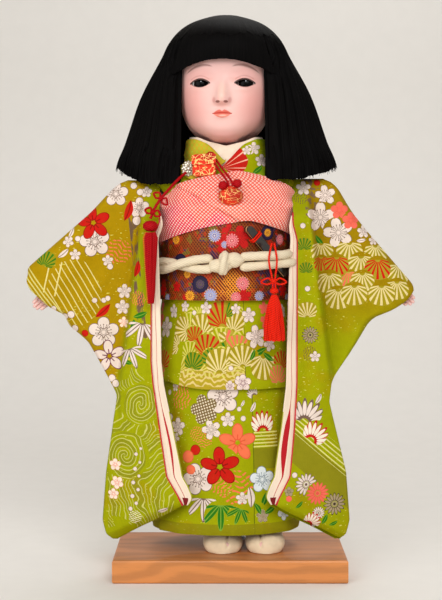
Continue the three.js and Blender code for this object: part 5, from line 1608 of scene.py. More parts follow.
def make_head():
    angles = np.concatenate([np.linspace(-72, 72, 165), np.linspace(72, 288, 56)[1:-1]])
    turns = np.radians(angles)
    squarer = (np.abs(np.sin(turns)) ** 2.5 + np.abs(np.cos(turns)) ** 2.5) ** -0.4
    full = np.where(np.cos(turns) > 0, squarer, 1)
    rings = [oval_points(angles, z, 11, 11, 11, HEAD_Y) for z in np.linspace(286, 312.5, 9)]
    for z in np.concatenate([[314, 314.8, 315.6, 316.4, 317.2], np.linspace(318, 413.4, 150)]):
        wide, front, back = head_form(z)
        ring = oval_points(angles, z, wide, front, back, HEAD_Y)
        ring[:, :2] = (0, HEAD_Y) + (ring[:, :2] - (0, HEAD_Y)) * full[:, None]
        ring[:, 2] += 3.0 * smoothstep(338, 320, z) * smoothstep(2, -12, ring[:, 1])
        facing = smoothstep(HEAD_Y, HEAD_Y - front * 0.7, ring[:, 1])
        ring[:, 1] -= facing * face_relief(ring[:, 0], ring[:, 2])
        rings.append(ring)
    points, faces = skin_over(rings)
    finish = moulded_finish("face_finish", True)
    head = piece("doll_head", faced(points), faces, finish, sharp=50)
    tools = []
    for side in (1, -1):
        centre = eye_centre(side)
        t = np.linspace(-1, 1, 25)
        upper = np.stack([t * EYE_WIDTH / 2, EYE_HEIGHT / 2 * (1 - t**2)], -1)
        lower = np.stack([t[::-1] * EYE_WIDTH / 2, -EYE_HEIGHT / 2 * (1 - t[::-1] ** 2)], -1)
        outline = np.vstack([lower, upper[1:-1]])
        rings = [[(centre[0] + x, y, EYE_Z + z) for x, z in outline] for y in (centre[1] - 14, centre[1] - 5)]
        for name, form in (("slot", skin_over(rings)), ("seat", blob(centre, (8.35,) * 3, 40, 30))):
            tool = piece(f"{name}_{side}", faced(form[0]), form[1], finish)
            cut = head.modifiers.new(tool.name, "BOOLEAN")
            cut.operation, cut.solver, cut.object = "DIFFERENCE", "EXACT", tool
            tools.append(tool)
    whole = head.data
    head.data = bpy.data.meshes.new_from_object(head.evaluated_get(bpy.context.evaluated_depsgraph_get()))
    head.modifiers.clear()
    head.data.name = head.name
    bpy.data.meshes.remove(whole)
    head.data.shade_smooth()
    head.data.set_sharp_from_angle(angle=math.radians(50))
    for tool in tools:
        bpy.data.meshes.remove(tool.data)
    settle(head, "head", "moulded_body", "head")

    def glass(unit):
        return unit * (1 + 0.13 * smoothstep(0.6, 0.9, -unit[..., 1]))[..., None]

    for side, word in SIDES:
        points, faces = blob(eye_centre(side), (EYE_RADIUS,) * 3, 48, 36, glass)
        form = faced(points), faces
        fitted("eye_" + word, form, eye_finish(side, word), "head", "eye_glass", "glass_eye_" + word)


def uneven(rng, count, over):
    """Random heights round a section of hair, each the mean of its neighbours."""
    heights = np.pad(rng.normal(0, 1, count), 6, mode="wrap")
    return np.convolve(heights, np.ones(over) / over, "same")[6:-6]


def hair_lock(
    name, start, stop, low, high, columns, rows, finish, rng, node, jag=3.0, flip=False, under=None
):
    """A section of hair: ridged strands with uneven, thinning ends."""
    u, v = grid(columns, rows)
    v = v**0.85
    rough = rng.normal(0, 1, columns)
    wave = uneven(rng, columns, 9)
    foot = low(lerp(start(low(0.0)), stop(low(0.0)), u[0])) + jag * (0.35 * rough + 1.1 * wave)
    z = lerp(foot[None, :], high, v)
    degrees = lerp(start(z), stop(z), u)
    fade = smoothstep(high + 1, high - 14, z)
    ridge = 0.35 * rough[None, :] * fade + 0.5 * np.repeat(wave[None, :], rows, 0) * fade
    ridge = np.clip(ridge, -0.9, 0.55) * min(jag, 1.0)
    if under:
        ridge = ridge - under(degrees, z)
    ends = smoothstep(0, 24, z - foot[None, :])
    outer = on_hair(degrees, z, -ridge + 1.0 * (1 - ends))
    inner = on_hair(degrees, z, -ridge * 0.3 + lerp(1.5, 4.5, ends))
    if flip:
        outer, inner = mirrored(outer), mirrored(inner)
    outer, inner = (faced(face) for face in (outer, inner))
    uv = np.stack([degrees, z], -1)
    item = cloth(name, outer, inner, uv, finish, flip=flip, sharp=80)
    return settle(item, "head", "hair", node)


def make_hair():
    finish = hair_finish()
    rng = np.random.default_rng(7)
    bang, side_to = 46.0, 118.0

    def always(degrees):
        return lambda z: degrees + 0 * z

    def front_edge(z):
        beside = np.degrees(np.arcsin(35.2 / hair_form(z)[0]))
        return lerp(beside, bang, smoothstep(FRINGE_Z - 4, FRINGE_Z + 8, z))

    def under_fringe(degrees, z):
        tucked = 2.5 * smoothstep(FRINGE_Z - 14, FRINGE_Z - 7, z) * smoothstep(50, 46, degrees)
        curled = 6.0 * smoothstep(9, 0, degrees - front_edge(z)) ** 2 * smoothstep(FRINGE_Z, FRINGE_Z - 14, z)
        return tucked + curled

    tips = steps([(0, 288), (40, 290), (90, 303), (118, 299), (180, 289)], 5)

    def fringe_edge(degrees):
        return FRINGE_Z + 0.6 - np.minimum(7.0 * (degrees / 34) ** 2, 9.5)

    hair_lock(
        "fringe", always(-44.5), always(44.5), fringe_edge, CAP_Z, 220, 20, finish, rng, "hair_fringe", 0.25
    )
    for side, word in SIDES:
        hair_lock(
            "side_hair_" + word, front_edge, always(side_to - 1.0),
            tips if side > 0 else lambda d: tips(d) - 4.0 * bump(d - 42, 18), CAP_Z, 240,
            46, finish, rng, "hair_side_" + word, 0.9, side < 0, under_fringe,
        )

    def back_tips(degrees):
        return tips(180 - np.abs(180 - degrees))

    hair_lock(
        "back_hair", always(side_to), always(360 - side_to), back_tips, CAP_Z, 300, 40, finish, rng,
        "hair_back", 0.9,
    )
    columns, rows = 300, 26
    u, v = grid(columns + 1, rows)
    u, v = u[:, :-1], v[:, :-1]
    ragged = uneven(rng, columns, 5)
    z = lerp((CAP_Z - 3 + 3.0 * ragged)[None, :], 419.9, v**0.8)
    ridge = 0.25 + 0.25 * ragged[None, :] * smoothstep(418, 404, z)
    outer = on_hair(360 * u, z, -ridge)
    wide, front, back = hair_form(z)
    sunk = lerp(0.15, 3.4, smoothstep(0, 0.25, v))
    shrink = np.minimum(sunk, 0.75 * wide)
    inner = oval_points(
        360 * u, z - sunk * 0.8, wide - shrink + 0.2, front - shrink + 0.2, back - shrink + 0.2, HEAD_Y
    )
    outer, inner = (faced(face) for face in (outer, inner))
    wide_u, wide_v = grid(columns + 1, rows)
    uv = np.stack([360 * wide_u, wide_v * 20], -1)
    settle(cloth("crown_hair", outer, inner, uv, finish, True, sharp=80), "head", "hair", "hair_crown")
    parts = []
    for side in (1, -1):
        for _ in range(60):
            degrees = rng.uniform(26, 112)
            foot = float(tips(degrees)) - rng.uniform(0, 3.2)
            heights = np.linspace(foot + rng.uniform(18, 30), foot, 8)
            sway = rng.uniform(-1.2, 1.2) * np.linspace(0, 1, 8) ** 2
            path = on_hair(np.maximum(degrees + sway, front_edge(heights) + 0.6), heights, 0.4)
            path = faced(path if side > 0 else mirrored(path))
            parts.append(skin_over(rings_along(path, np.linspace(0.5, 0.12, 8), 5)))
    fitted("loose_strands", merged(parts), finish, "head", "hair")


def stuffed(start, axis, rows, sides=28, puckers=9, depth=0.05):
    """A stuffed limb along a straight axis, from rows of (distance, radius), gathered at its ends."""
    run = np.linspace(rows[0][0], rows[-1][0], 44)
    wide = profile(rows)(run)[0]
    path = start + run[:, None] * direction(axis)
    ends = np.minimum(run - run[0], run[-1] - run) / (run[-1] - run[0])
    rings = rings_along(path, wide, sides)
    angles = round_angles(sides)
    dent = 1 - depth * bump(ends, 0.08)[:, None] * np.cos(puckers * angles)
    middle = path[:, None, :]
    return skin_over(middle + (rings - middle) * dent[..., None])


def make_limbs():
    look = colours()
    calico = cotton_finish("calico", look.calico)
    white = cotton_finish("sock_cotton", look.tabi)
    skin = moulded_finish("hand_finish")
    axis = HAND_POINT - ARM_PIVOT
    length = float(np.linalg.norm(axis))
    along = axis / length
    seat = np.array(Vector((1, 0, 0)).rotation_difference(Vector(along)).to_matrix())
    for side, word in SIDES:
        def shown(form):
            points, faces = form
            return (points, faces) if side > 0 else (mirrored(points), [f[::-1] for f in faces])

        wrist = length - (23 if side > 0 else 18)
        palm_at = ARM_PIVOT + along * (wrist + 8)
        rows = [(-8, 2.9), (-6, 6.0), (-2.9, 8), (0, 8.5), (34, 8.5), (58.6, 7.9), (61.6, 6.5)]
        arm, body = shown(stuffed(ARM_PIVOT, axis, rows)), "arm_" + word
        fitted("stuffed_arm_" + word, arm, calico, body, "calico", "upper_arm_" + word)
        rows = [(62, 6.1), (68, 7.9), (80, 7.1), (wrist, 5.5), (wrist + 5, 5.0)]
        parts = [stuffed(ARM_PIVOT, axis, rows, depth=0.0)]

        def in_hand(points):
            return points @ seat.T + palm_at

        palm = blob((0, 0, 0), (9, 4.0, 6.8), 30, 20)
        parts.append((in_hand(palm[0]), palm[1]))
        for z, tip in ((-4.5, 15.4), (-1.5, 17.8), (1.5, 18.2), (4.4, 16.4)):
            route = [(4, -0.3, z), (10, -1.0, z * 0.98), (tip - 3, -2.0, z * 0.93), (tip, -3.0, z * 0.88)]
            path = in_hand(path_through(route, 16))
            parts.append(rounded_tube(path, np.linspace(1.75, 1.35, 16), 12))
        route = [(-3, -1.5, 4), (3, -4.0, 6.8), (8.4, -4.9, 7.2)]
        parts.append(rounded_tube(in_hand(path_through(route, 14)), np.linspace(2.2, 1.5, 14), 12))
        fitted("hand_" + word, shown(merged(parts)), skin, body, "moulded_body", "forearm_" + word)
        hip, knee = np.array([side * 17.0, 2, 103]), np.array([side * 16.5 + 7.7, 2, 60])
        reach = float(np.linalg.norm(knee - hip))
        rows = [(-4, 7.8), (2, 13), (reach * 0.5, 14), (reach - 4, 12.4), (reach - 1, 10)]
        thigh = stuffed(hip, knee - hip, rows)
        fitted("stuffed_thigh_" + word, thigh, calico, "doll", "calico", "thigh_" + word)
        paint_node("lower_leg_" + word, skin)
        make_sock(side, word, white)
    paint_node("torso", skin)


def make_sock(side, word, finish):
    """A split-toe sock with a sewn sole and a cuff round the ankle."""
    shape = profile([
        (0, 0.5, 0.62), (0.12, 0.86, 0.8), (0.35, 1, 0.94), (0.6, 0.92, 1.2), (0.85, 0.78, 1.5),
        (1, 0.5, 1.35),
    ])
    middle = np.array([side * 16.6 + 14, -4.0, 0])
    split = -side * 3.7
    rings = []
    angles = round_angles(72)
    for t in np.concatenate([np.linspace(0, 0.12, 12), np.linspace(0.12, 0.97, 44)[1:], [0.985, 1.0]]):
        wide, high = shape(t)
        nose = math.sqrt(1 - (1 - min(t / 0.14, 1)) ** 2)
        tail = math.sqrt(1 - max(0, (t - 0.9) / 0.1) ** 2 * 0.8)
        half = wide * 15.5 * lerp(0.35, 1, nose) * tail
        lift = np.clip(np.sin(angles) + 0.55, 0, 1.55) / 1.55
        top = high * 17 * lerp(0.45, 1, nose) * tail
        x = half * np.cos(angles)
        groove = bump(x - split, 1.0) * (1 - smoothstep(0.16, 0.36, t))
        z = lift * (top - 2.6 * groove * lift)
        y = lerp(-32.6, 15.4, t) + 1.4 * groove * (1 - nose)
        rings.append(np.stack([x, y, z], -1) + middle)
    cuff = [(0, 20), (0.4, 27), (0.0, 30)]
    rows = [oval_points(np.linspace(0, 360, 48, endpoint=False), z, 11.3 + g, 11.3 + g) for g, z in cuff]
    ankle = skin_over(np.array(rows) + middle * (1, 1, 0) + (0, 4, 0))
    form = merged([skin_over(rings), ankle])
    fitted("sock_" + word, form, finish, "doll", "white_silk", "tabi_" + word, sharp=60)


def round_shell(name, levels, inner, outer, finish, slot, node, holes=False, creases=0.0):
    """A cloth that goes right round the trunk."""
    columns = 168
    degrees = np.linspace(0, 360, columns, endpoint=False)[None, :]
    z = levels[:, None] + 0 * degrees
    turns = np.radians(degrees)
    crinkle = creases * (np.sin(7 * turns + z / 9) + 0.6 * np.sin(13 * turns - z / 14))
    out = on_trunk(degrees, z, outer + crinkle)
    inside = on_trunk(degrees, z, inner + crinkle)
    wide = np.linspace(0, 360, columns + 1)[None, :] + 0 * levels[:, None]
    uv = np.stack([np.radians(wide) * TRUNK_CUT, closed(z)], -1)
    keep = None
    if holes:
        ring = closed(out)
        centre = (ring[:-1, :-1] + ring[1:, 1:]) / 2
        away = np.hypot(centre[..., 1] - ARM_PIVOT[1], centre[..., 2] - ARM_PIVOT[2])
        keep = ~((away < 11.5) & (np.abs(centre[..., 0]) > 30))
    item = cloth(name, out, inside, uv, finish, True, keep)
    settle(item, "doll", slot, node)
    as_sheet(out, True)


def make_bodice():
    white = plain_silk("under_robe_silk", colours().lining)
    green = printed_silk("bodice_print", {})
    levels = np.linspace(180, 299.5, 50)
    round_shell(
        "under_robe", levels, -3.44, -2.24, white, "white_silk", "juban_bodice", True
    )
    levels = np.linspace(196, 299.5, 46)
    round_shell(
        "robe_bodice", levels, -1.6, 0.0, green, "printed_silk", "kimono_bodice",
        True,
    )
    make_collars(white)


def make_collars(white):
    def edge(*rows):
        return steps([(d, NECK_Z + r) for d, r in rows], 4)

    top = edge((-40, -30), (-20, -15), (0, -2.5), (34, 12), (50, 15.5), (90, 16.5), (180, 10))
    bottom = edge((-40, -44), (0, -25), (40, -12), (90, -8), (180, -6))
    neck = edge((0, 10.2), (34, 13.5), (50, 17), (90, 18), (180, 11.5))

    def band(name, start, stop, low, high, under, over, finish, slot, node, flip=False):
        u, v = grid(170, 15)
        degrees = lerp(start, stop, u)
        z = lerp(low(degrees), high(degrees), v)
        roll = np.sqrt(np.clip(1 - (2 * v - 1) ** 8, 0.0, 1))
        beside = np.abs(degrees)
        flare = 7.0 * smoothstep(299, 311, z) * smoothstep(18, 52, beside) * smoothstep(175, 120, beside)
        outer = on_trunk(degrees, z, lerp(under + 0.5, over, roll) + flare)
        inner = on_trunk(degrees, z, under + flare)
        if flip:
            outer, inner = mirrored(outer), mirrored(inner)
        uv = np.stack([outer[..., 0], z], -1)
        item = settle(cloth(name, outer, inner, uv, finish, flip=flip), "doll", slot, node)
        as_sheet(outer)

    def both(line, rise):
        return lambda d: line(np.abs(d)) + rise

    band(
        "inner_collar", -179.7, 179.7, both(top, -8), both(neck, 0), 1.0, 2.2, white, "white_silk", "han_eri"
    )
    print_left = printed_silk("left_collar_print", COLLAR_PRINT, ground=collar_ground)
    band("left_collar", -38, 179.4, bottom, top, 3.0, 4.9, print_left, "printed_silk", "kimono_collar_left")

    def right_low(d):
        return np.maximum(bottom(d), top(-d) + 1.2)

    def right_high(d):
        return np.maximum(top(d), right_low(d) + 2)

    print_right = printed_silk("right_collar_print", {}, gold_lattice)
    band(
        "right_collar", 1, 179.4, right_low, right_high, 3.0, 4.9, print_right, "printed_silk",
        "kimono_collar_right", True,
    )


def make_skirt():
    columns, rows = 420, 60
    u, v = grid(columns, rows)
    degrees = lerp(-60, 405, u)
    z = lerp(16, 203, v)
    wide, deep = skirt_form(z)
    over = 2.0 * (1 - smoothstep(58, 84, degrees))
    padded = 1.5 * bump(z - 20, 5) * (1 - smoothstep(360, 372, degrees))
    around = np.radians(degrees)
    soft = smoothstep(150, 60, z) * (0.35 * np.sin(9 * around + z / 40) + 0.25 * np.sin(16 * around - z / 26))
    ruck = 0.25 * np.sin(z / 5 + 2 * np.sin(around)) * smoothstep(150, 120, z)
    hang = soft + ruck * bump(np.sin(around), 0.7)
    outer = oval_points(degrees, z, wide + over + padded + hang, deep + over + padded + hang)
    inner = oval_points(degrees, z, wide + over + hang - 1.5, deep + over + hang - 1.5)
    uv = np.stack([SKIRT_CUT * around, z], -1)
    silk = printed_silk("skirt_print", SKIRT_PRINT, skirt_extras, repeat=60)
    item = settle(cloth("wrapped_skirt", outer, inner, uv, silk), "doll", "printed_silk", "kimono_skirt")
    as_sheet(outer)
    columns, rows = 300, 40
    u, v = grid(columns + 1, rows)
    degrees = 360 * u
    seen = np.where(degrees > 180, degrees - 360, degrees)
    low = 129 + 5 * smoothstep(-15, -62, seen) * smoothstep(-130, -90, seen)
    z = lerp(low, 203, v)
    wide, deep = tuck_form(z)
    around = np.radians(degrees)
    roll = 1.0 * bump(z - low - 3, 3.5)
    crease = 0.5 * np.sin(6 * around + z / 11) + 0.35 * np.sin(11 * around - z / 8)
    flare = np.clip(roll + smoothstep(198, 185, z) * crease, -0.8, 1.4)
    outer = oval_points(degrees, z, wide + flare, deep + flare)
    inner = oval_points(degrees, z, wide + flare - 1.8, deep + flare - 1.8)
    uv = np.stack([SKIRT_CUT * around, z], -1)
    silk = printed_silk("tuck_print", TUCK_PRINT, tuck_extras, repeat=62)
    item = cloth("folded_tuck", outer[:, :-1], inner[:, :-1], uv, silk, True)
    settle(item, "doll", "printed_silk", "kimono_tuck")
    as_sheet(outer[:, :-1], True)


def sleeve_line(z, inset, side, front_count=56, fold_count=15, back_count=34):
    """Points of a sleeve at each height: front layer, fold at its end, back layer."""
    z = np.asarray(z, float)[:, None]
    inside, end = sleeve_in(z), hung_end[side](z) - inset
    room = end - inside
    crease = np.clip(sleeve_crease(z), inside + np.minimum(8, room * 0.3), end - room * 0.2)
    near = lerp(crease + 1, end, 0.8)
    s = np.linspace(0, 1, front_count)[None, :]
    x_front = lerp(inside + hung_shift[side](z), near, s)
    y_front = sleeve_front(x_front, z) + inset
    a, b = sleeve_front(near, z) + inset, sleeve_back(near, z) - inset
    turn = np.linspace(0, math.pi, fold_count + 2)[None, 1:-1]
    x_fold = near + (end - near) * np.sin(turn)
    low, high = cuff_rows[side]
    opened = smoothstep(low - 2, low + 3, z) * smoothstep(high + 3, high - 2, z)
    bend = np.sign(np.cos(turn)) * np.abs(np.cos(turn)) ** (1 - 0.85 * opened)
    y_fold = (a + b) / 2 - (b - a) / 2 * bend
    seam_wide, seam_deep = trunk_form(z)
    depth = wing_middle(seam_wide) + WING_HALF - 1.5
    seam = seam_wide * np.sqrt(np.clip(1 - (depth / seam_deep) ** 2, 0, 1)) + 0.4
    high = lerp(seam, inside, smoothstep(277.6, 285, z))
    start = lerp(inside + 6 * smoothstep(130, 160, z), high, smoothstep(258, 266, z))
    start = np.minimum(start, lerp(inside, near, 0.5))
    x_back = lerp(near, start, np.linspace(0, 1, back_count)[None, :])
    y_back = sleeve_back(x_back, z) - inset
    x, y = np.hstack([x_front, x_fold, x_back]), np.hstack([y_front, y_fold, y_back])
    z = z + 0 * x
    middle = (sleeve_front(x, z) + sleeve_back(x, z)) / 2
    y = lerp(middle, y, sleeve_close(x, z)) + sleeve_drift(x, z)
    return np.stack([x, y, z], -1)


def make_sleeves():
    look = colours()
    linings = {
        1: lining_finish("left_sleeve_lining", look.lining, look.piping, 1.7),
        -1: lining_finish("right_sleeve_lining", look.lining, look.piping, 0.5),
    }
    red = plain_silk("sleeve_piping", look.piping, 0.6)
    levels = np.concatenate([np.linspace(9.4, 46, 26), np.linspace(46, 285.6, 104)[1:]])
    shows = steps([
        (41, 4), (44, 9), (48, 12), (56, 13.2), (72, 12.6), (100, 11), (130, 9), (196, 7.6), (240, 6),
        (252, 4.5), (262, 1.5),
    ], 1.5)
    prints = {
        1: printed_silk("left_sleeve_print", LEFT_SLEEVE_PRINT, left_sleeve_extras, sleeve_ground(1)),
        -1: printed_silk("right_sleeve_print", RIGHT_SLEEVE_PRINT, right_sleeve_extras, sleeve_ground(-1)),
    }
    for side, word in SIDES:
        def shown(points):
            return points if side > 0 else mirrored(points)

        outer, inner = sleeve_line(levels, 0.0, side), sleeve_line(levels, 1.4, side)
        for layer in (outer, inner):
            layer[..., 2] += (5.0 + 0.6 * side) * smoothstep(262, 286, layer[..., 2])
        uv = np.stack([side * outer[..., 0], outer[..., 2]], -1)
        keep = np.ones((len(levels) - 1, outer.shape[1] - 1), bool)
        low, high = cuff_rows[side]
        keep[np.ix_(np.flatnonzero((levels[:-1] > low) & (levels[:-1] < high)), (62, 63))] = False
        item = cloth(
            "long_sleeve_" + word, shown(outer), shown(inner), uv, prints[side], False, keep, side < 0, 60
        )
        settle(item, "arm_" + word, "printed_silk", "sleeve_" + word)
        as_sheet(outer)
        z = np.linspace(41, 264, 90)
        x = sleeve_in(z) + hung_shift[side](z)
        edge = np.stack([x - 0.2, sleeve_front(x, z) + 0.7 + sleeve_drift(x, z), z], -1)
        form = rounded_tube(shown(edge), sizes().piping_radius / MM, 8)
        fitted("sleeve_piping_" + word, form, red, "arm_" + word, "crimson_silk")
        z = np.linspace(41, 262, 118)[:, None]
        inside = sleeve_in(z) + hung_shift[side](z)
        start = inside - shows(z)
        deep = inside + 11
        s = np.linspace(0, 1, 20)[None, :]

        def folded(inset):
            x_front = lerp(deep, start + inset + 1.1, s)
            turn = np.linspace(0, math.pi, 10)[None, 1:-1]
            x_fold = start + inset + 1.1 - 1.1 * np.sin(turn)
            x = np.hstack([x_front, x_fold, x_front[:, ::-1]])
            base = sleeve_front(np.maximum(x, inside), z) + np.minimum(x - inside, 0) * 0.35
            half = 1.3 - inset
            sway = np.hstack([0 * x_front - half, -half * np.cos(turn) + 0 * x_fold, 0 * x_front + half])
            y = base + 1.9 + 1.3 + sway + sleeve_drift(x, z)
            return np.stack([x, y, z + 0 * x], -1)

        outer, inner = folded(0.0), folded(0.55)
        uv = np.stack([10 * (inside - outer[..., 0]) / shows(z), outer[..., 2]], -1)
        item = cloth("inner_sleeve_" + word, shown(outer), shown(inner), uv, linings[side], flip=side > 0)
        settle(item, "arm_" + word, "white_silk", "juban_sleeve_" + word)
        as_sheet(outer)


def make_sash():
    look = colours()
    brocade = brocade_finish("sash_brocade", SASH_PRINT)
    levels = np.concatenate([[197, 197.5, 198.5], np.linspace(200, 259, 30), [260.5, 261.6, 262]])
    round_shell(
        "sash", levels, 7.0, SASH_OUT, brocade, "brocade", "obi", creases=0.18
    )
    calico = cotton_finish("sash_padding", look.calico)
    levels = np.linspace(203.4, 260, 26)
    round_shell(
        "sash_padding", levels, 0.8, 5.2, calico, "calico", "under_sash",
        creases=0.1,
    )
    paint_node("obi_board", cotton_finish("sash_card", paint(200, 188, 164)))
    points, faces = blob((0, 46.6, 269.6), (26.5, 5.6, 6.6), 48, 30, ribbed(9, 1, 0.04, False))
    wide, deep = trunk_form(points[:, 2])
    rest = deep * np.sqrt(np.clip(1 - (points[:, 0] / wide) ** 2, 0, 1)) + 0.6
    points[:, 1] = np.maximum(points[:, 1], rest)
    points[:, 2] = np.maximum(points[:, 2], 262.5)
    cover = plain_silk("pillow_cover", look.coral)
    fitted("sash_pillow", (points, faces), cover, "doll", "dotted_silk", "obi_pillow")
    plain = brocade_finish("bow_brocade", {}, True)
    loop = profile([(0, 9, 6), (0.2, 15, 8), (0.55, 24, 9.5), (0.85, 25, 8.5), (1, 21, 4.5)])
    for side, word in SIDES:
        rings = []
        angles = round_angles(64)
        for t in np.concatenate([np.linspace(0, 0.96, 30), [0.985, 1.0]]):
            high, deep = loop(t)
            pleat = 1 + 0.05 * np.cos(10 * angles) * (1 - t)
            fold = (1 - 0.25 * bump(np.cos(angles), 0.45) * t) * pleat
            hollow = 1 - 0.35 * smoothstep(0.96, 1.0, t)
            z = BOW_Z - 9 * t * t + high * np.cos(angles) * pleat * lerp(1, 0.94, smoothstep(0.96, 1.0, t))
            y = BOW_Y + 2 * t + deep * hollow * fold * np.sin(angles)
            rings.append(np.stack([side * (lerp(10.5, 56, t) + 0 * z), y, z], -1))
        item = piece("bow_loop_" + word, *skin_over(rings), plain, flip=side < 0, sharp=60)
        settle(item, "doll", "brocade", "obi_bow_loop_" + word)
    knot = blob((0, BOW_Y, BOW_Z), (10, 13.4, 12.6), 66, 30, ribbed(11, 0.95, 0.045))
    fitted("bow_knot", knot, plain, "doll", "brocade", "obi_bow_knot")


def make_scarf():
    look = colours()
    low = [(-82, -22), (-62, -20.6), (-17.6, -9.3), (10, -4.8), (16, -3.3), (70, -17), (82, -20)]
    high = [(-82, 12), (-50, 16), (-38, 23), (-24, 28), (10, 35), (28, 31), (45, 24), (73, 15.5), (82, 13)]
    low, high = (steps([(d, OBI_TOP + r) for d, r in rows], 5) for rows in (low, high))

    def half(name, start, stop, sign, extra, finish, node):
        u, v = grid(190, 70)
        degrees = lerp(start, stop, u)
        for _ in range(5):
            z = lerp(low(degrees), high(degrees), v)
            seam = lerp(10.4, -38, (z - 257) / 29) + (0 if sign > 0 else 12)
            degrees = lerp(seam, stop, u) if sign > 0 else lerp(start, seam, u)
        z = lerp(low(degrees), high(degrees), v)
        rest = lerp(10.4, 4.8, smoothstep(268, 276, z)) + 1.6
        puff = 5 * np.sqrt(np.clip(4 * v * (1 - v), 0.06, 1))
        lip = smoothstep(-0.03, 0.05, u) if sign > 0 else smoothstep(0.98, 0.76, u)
        puff = puff * lerp(0.7 if sign > 0 else 0.2, 1, lip) + extra * lerp(0.6, 1, lip)
        puff = puff * lerp(0.35, 1, smoothstep(64, 44, np.abs(degrees)))
        x = TRUNK_CUT * np.radians(degrees)
        one, two = (x + z) / (DOT_STEP * 1.414), (x - z) / (DOT_STEP * 1.414)
        away = np.hypot(one % 1 - 0.5, two % 1 - 0.5)
        peaks = 0.45 * (1 - smoothstep(0.08, 0.5, away))
        folds = 0.7 * np.sin((z + 0.45 * sign * x) / 3.3) * (4 * v * (1 - v)) ** 0.7
        outer = on_trunk(degrees, z, rest + puff + peaks + folds - 0.6)
        inner = on_trunk(degrees, z, rest - (0 if sign > 0 else 0.3))
        uv = np.stack([x, z], -1)
        item = settle(cloth(name, outer, inner, uv, finish, sharp=70), "doll", "dotted_silk", node)
        as_sheet(outer)

    coral = scarf_finish("coral_scarf", look.coral, paint(236, 104, 80))
    crimson = scarf_finish("crimson_scarf", look.crimson_dye, look.coral)
    half("scarf_left", -36, 62, 1, 1.8, coral, "obiage_left")
    half("scarf_right", -66, 4, -1, -0.6, crimson, "obiage_right")


def over_fan(degrees, lift):
    return 8.8 * bump(degrees - FAN_ANGLE - (6 if lift > 0 else 12), 14)


def make_sash_cord():
    cream = thread_silk("cream_cord", colours().sash_cord, fine=True)
    plait = {"ridges": 6, "twist": 0.1, "depth": 0.05}
    for lift, word in ((3.9, "upper"), (-3.9, "lower")):
        degrees = np.linspace(13, 347, 260)
        on_right = degrees > 180
        beside = np.where(on_right, 360 - degrees, degrees)
        cross = np.where(
            on_right, lerp(1, -0.75, smoothstep(16, 52, beside)), lerp(1, 0.85, smoothstep(16, 40, beside))
        )
        rise = 3.2 * np.sin(np.radians(degrees)) + 1.6 * bump(degrees - 60, 26)
        front = 5.5 * bump(beside - 34, 13) * on_right if lift > 0 else 0 * degrees
        path = on_trunk(degrees, CORD_Z + lift * cross + rise, CORD_OUT + over_fan(degrees, lift) + front)
        form = rounded_tube(path, 3.55, 20, **plait)
        fitted("sash_cord_" + word, form, cream, "doll", "cream_cord", "obijime_" + word)
    centre = on_trunk(0, CORD_Z, SASH_OUT + 5.76)
    padded = ribbed(5, 0.96, 0.05, False)
    lumps = (centre + (side * 4.6, 0.4, side * 2.2) for side in (1, -1))
    parts = [blob(lump, (9.4, 4.9, 6.0), 40, 26, padded) for lump in lumps]
    angles = np.linspace(0, 2 * math.pi, 40)
    loop = np.stack([-2.2 + 1.2 * np.sin(angles), -1.6 - 3.4 * np.cos(angles), 6.6 * np.sin(angles)], -1)
    parts.append(rounded_tube(loop + centre, 2.9, 16, **plait))
    parts.append(blob(centre + (-1.8, -2.2, 0), (4.4, 3.9, 9.4), 36, 24, padded))
    fitted("sash_cord_knot", merged(parts), cream, "doll", "cream_cord", "obijime_knot")


def make_fan():
    lacquer = lacquer_finish()
    for name in ("fan_guard_back", "fan_guard_front"):
        paint_node(name, lacquer)
    paint_node("fan_ribs", cotton_finish("fan_paper", paint(196, 150, 96)))
    paint_node("fan_rivet", metal_finish("rivet_brass", paint(206, 170, 96), 0.3))
    foot = on_trunk(FAN_ANGLE, FAN_FOOT_Z, SASH_OUT)
    wide, deep = trunk_form(FAN_FOOT_Z) + SASH_OUT
    turn = math.radians(FAN_ANGLE)
    tangent = direction(np.array([wide * math.cos(turn), deep * math.sin(turn), 0]))
    along = direction(-0.7 * tangent + np.array([0, 0, 0.714]))
    outward = np.cross(tangent, (0, 0, 1))
    across = np.cross(outward, along)
    angles = np.linspace(0, 2 * math.pi, 60)
    parts = []
    for shift in (13.4, 15.2):
        x = 4.7 * np.sign(np.cos(angles)) * np.abs(np.cos(angles)) ** 0.5
        y = 3.2 + 3.0 * np.sign(np.sin(angles)) * np.abs(np.sin(angles)) ** 0.5
        loop = foot + shift * along + x[:, None] * across + y[:, None] * outward
        parts.append(skin_over(rings_along(loop, 0.75, 8, ridges=3, twist=0.55)))
    red = thread_silk("fan_tie_silk", colours().orange)
    fitted("fan_tie", merged(parts), red, "doll", "orange_silk")


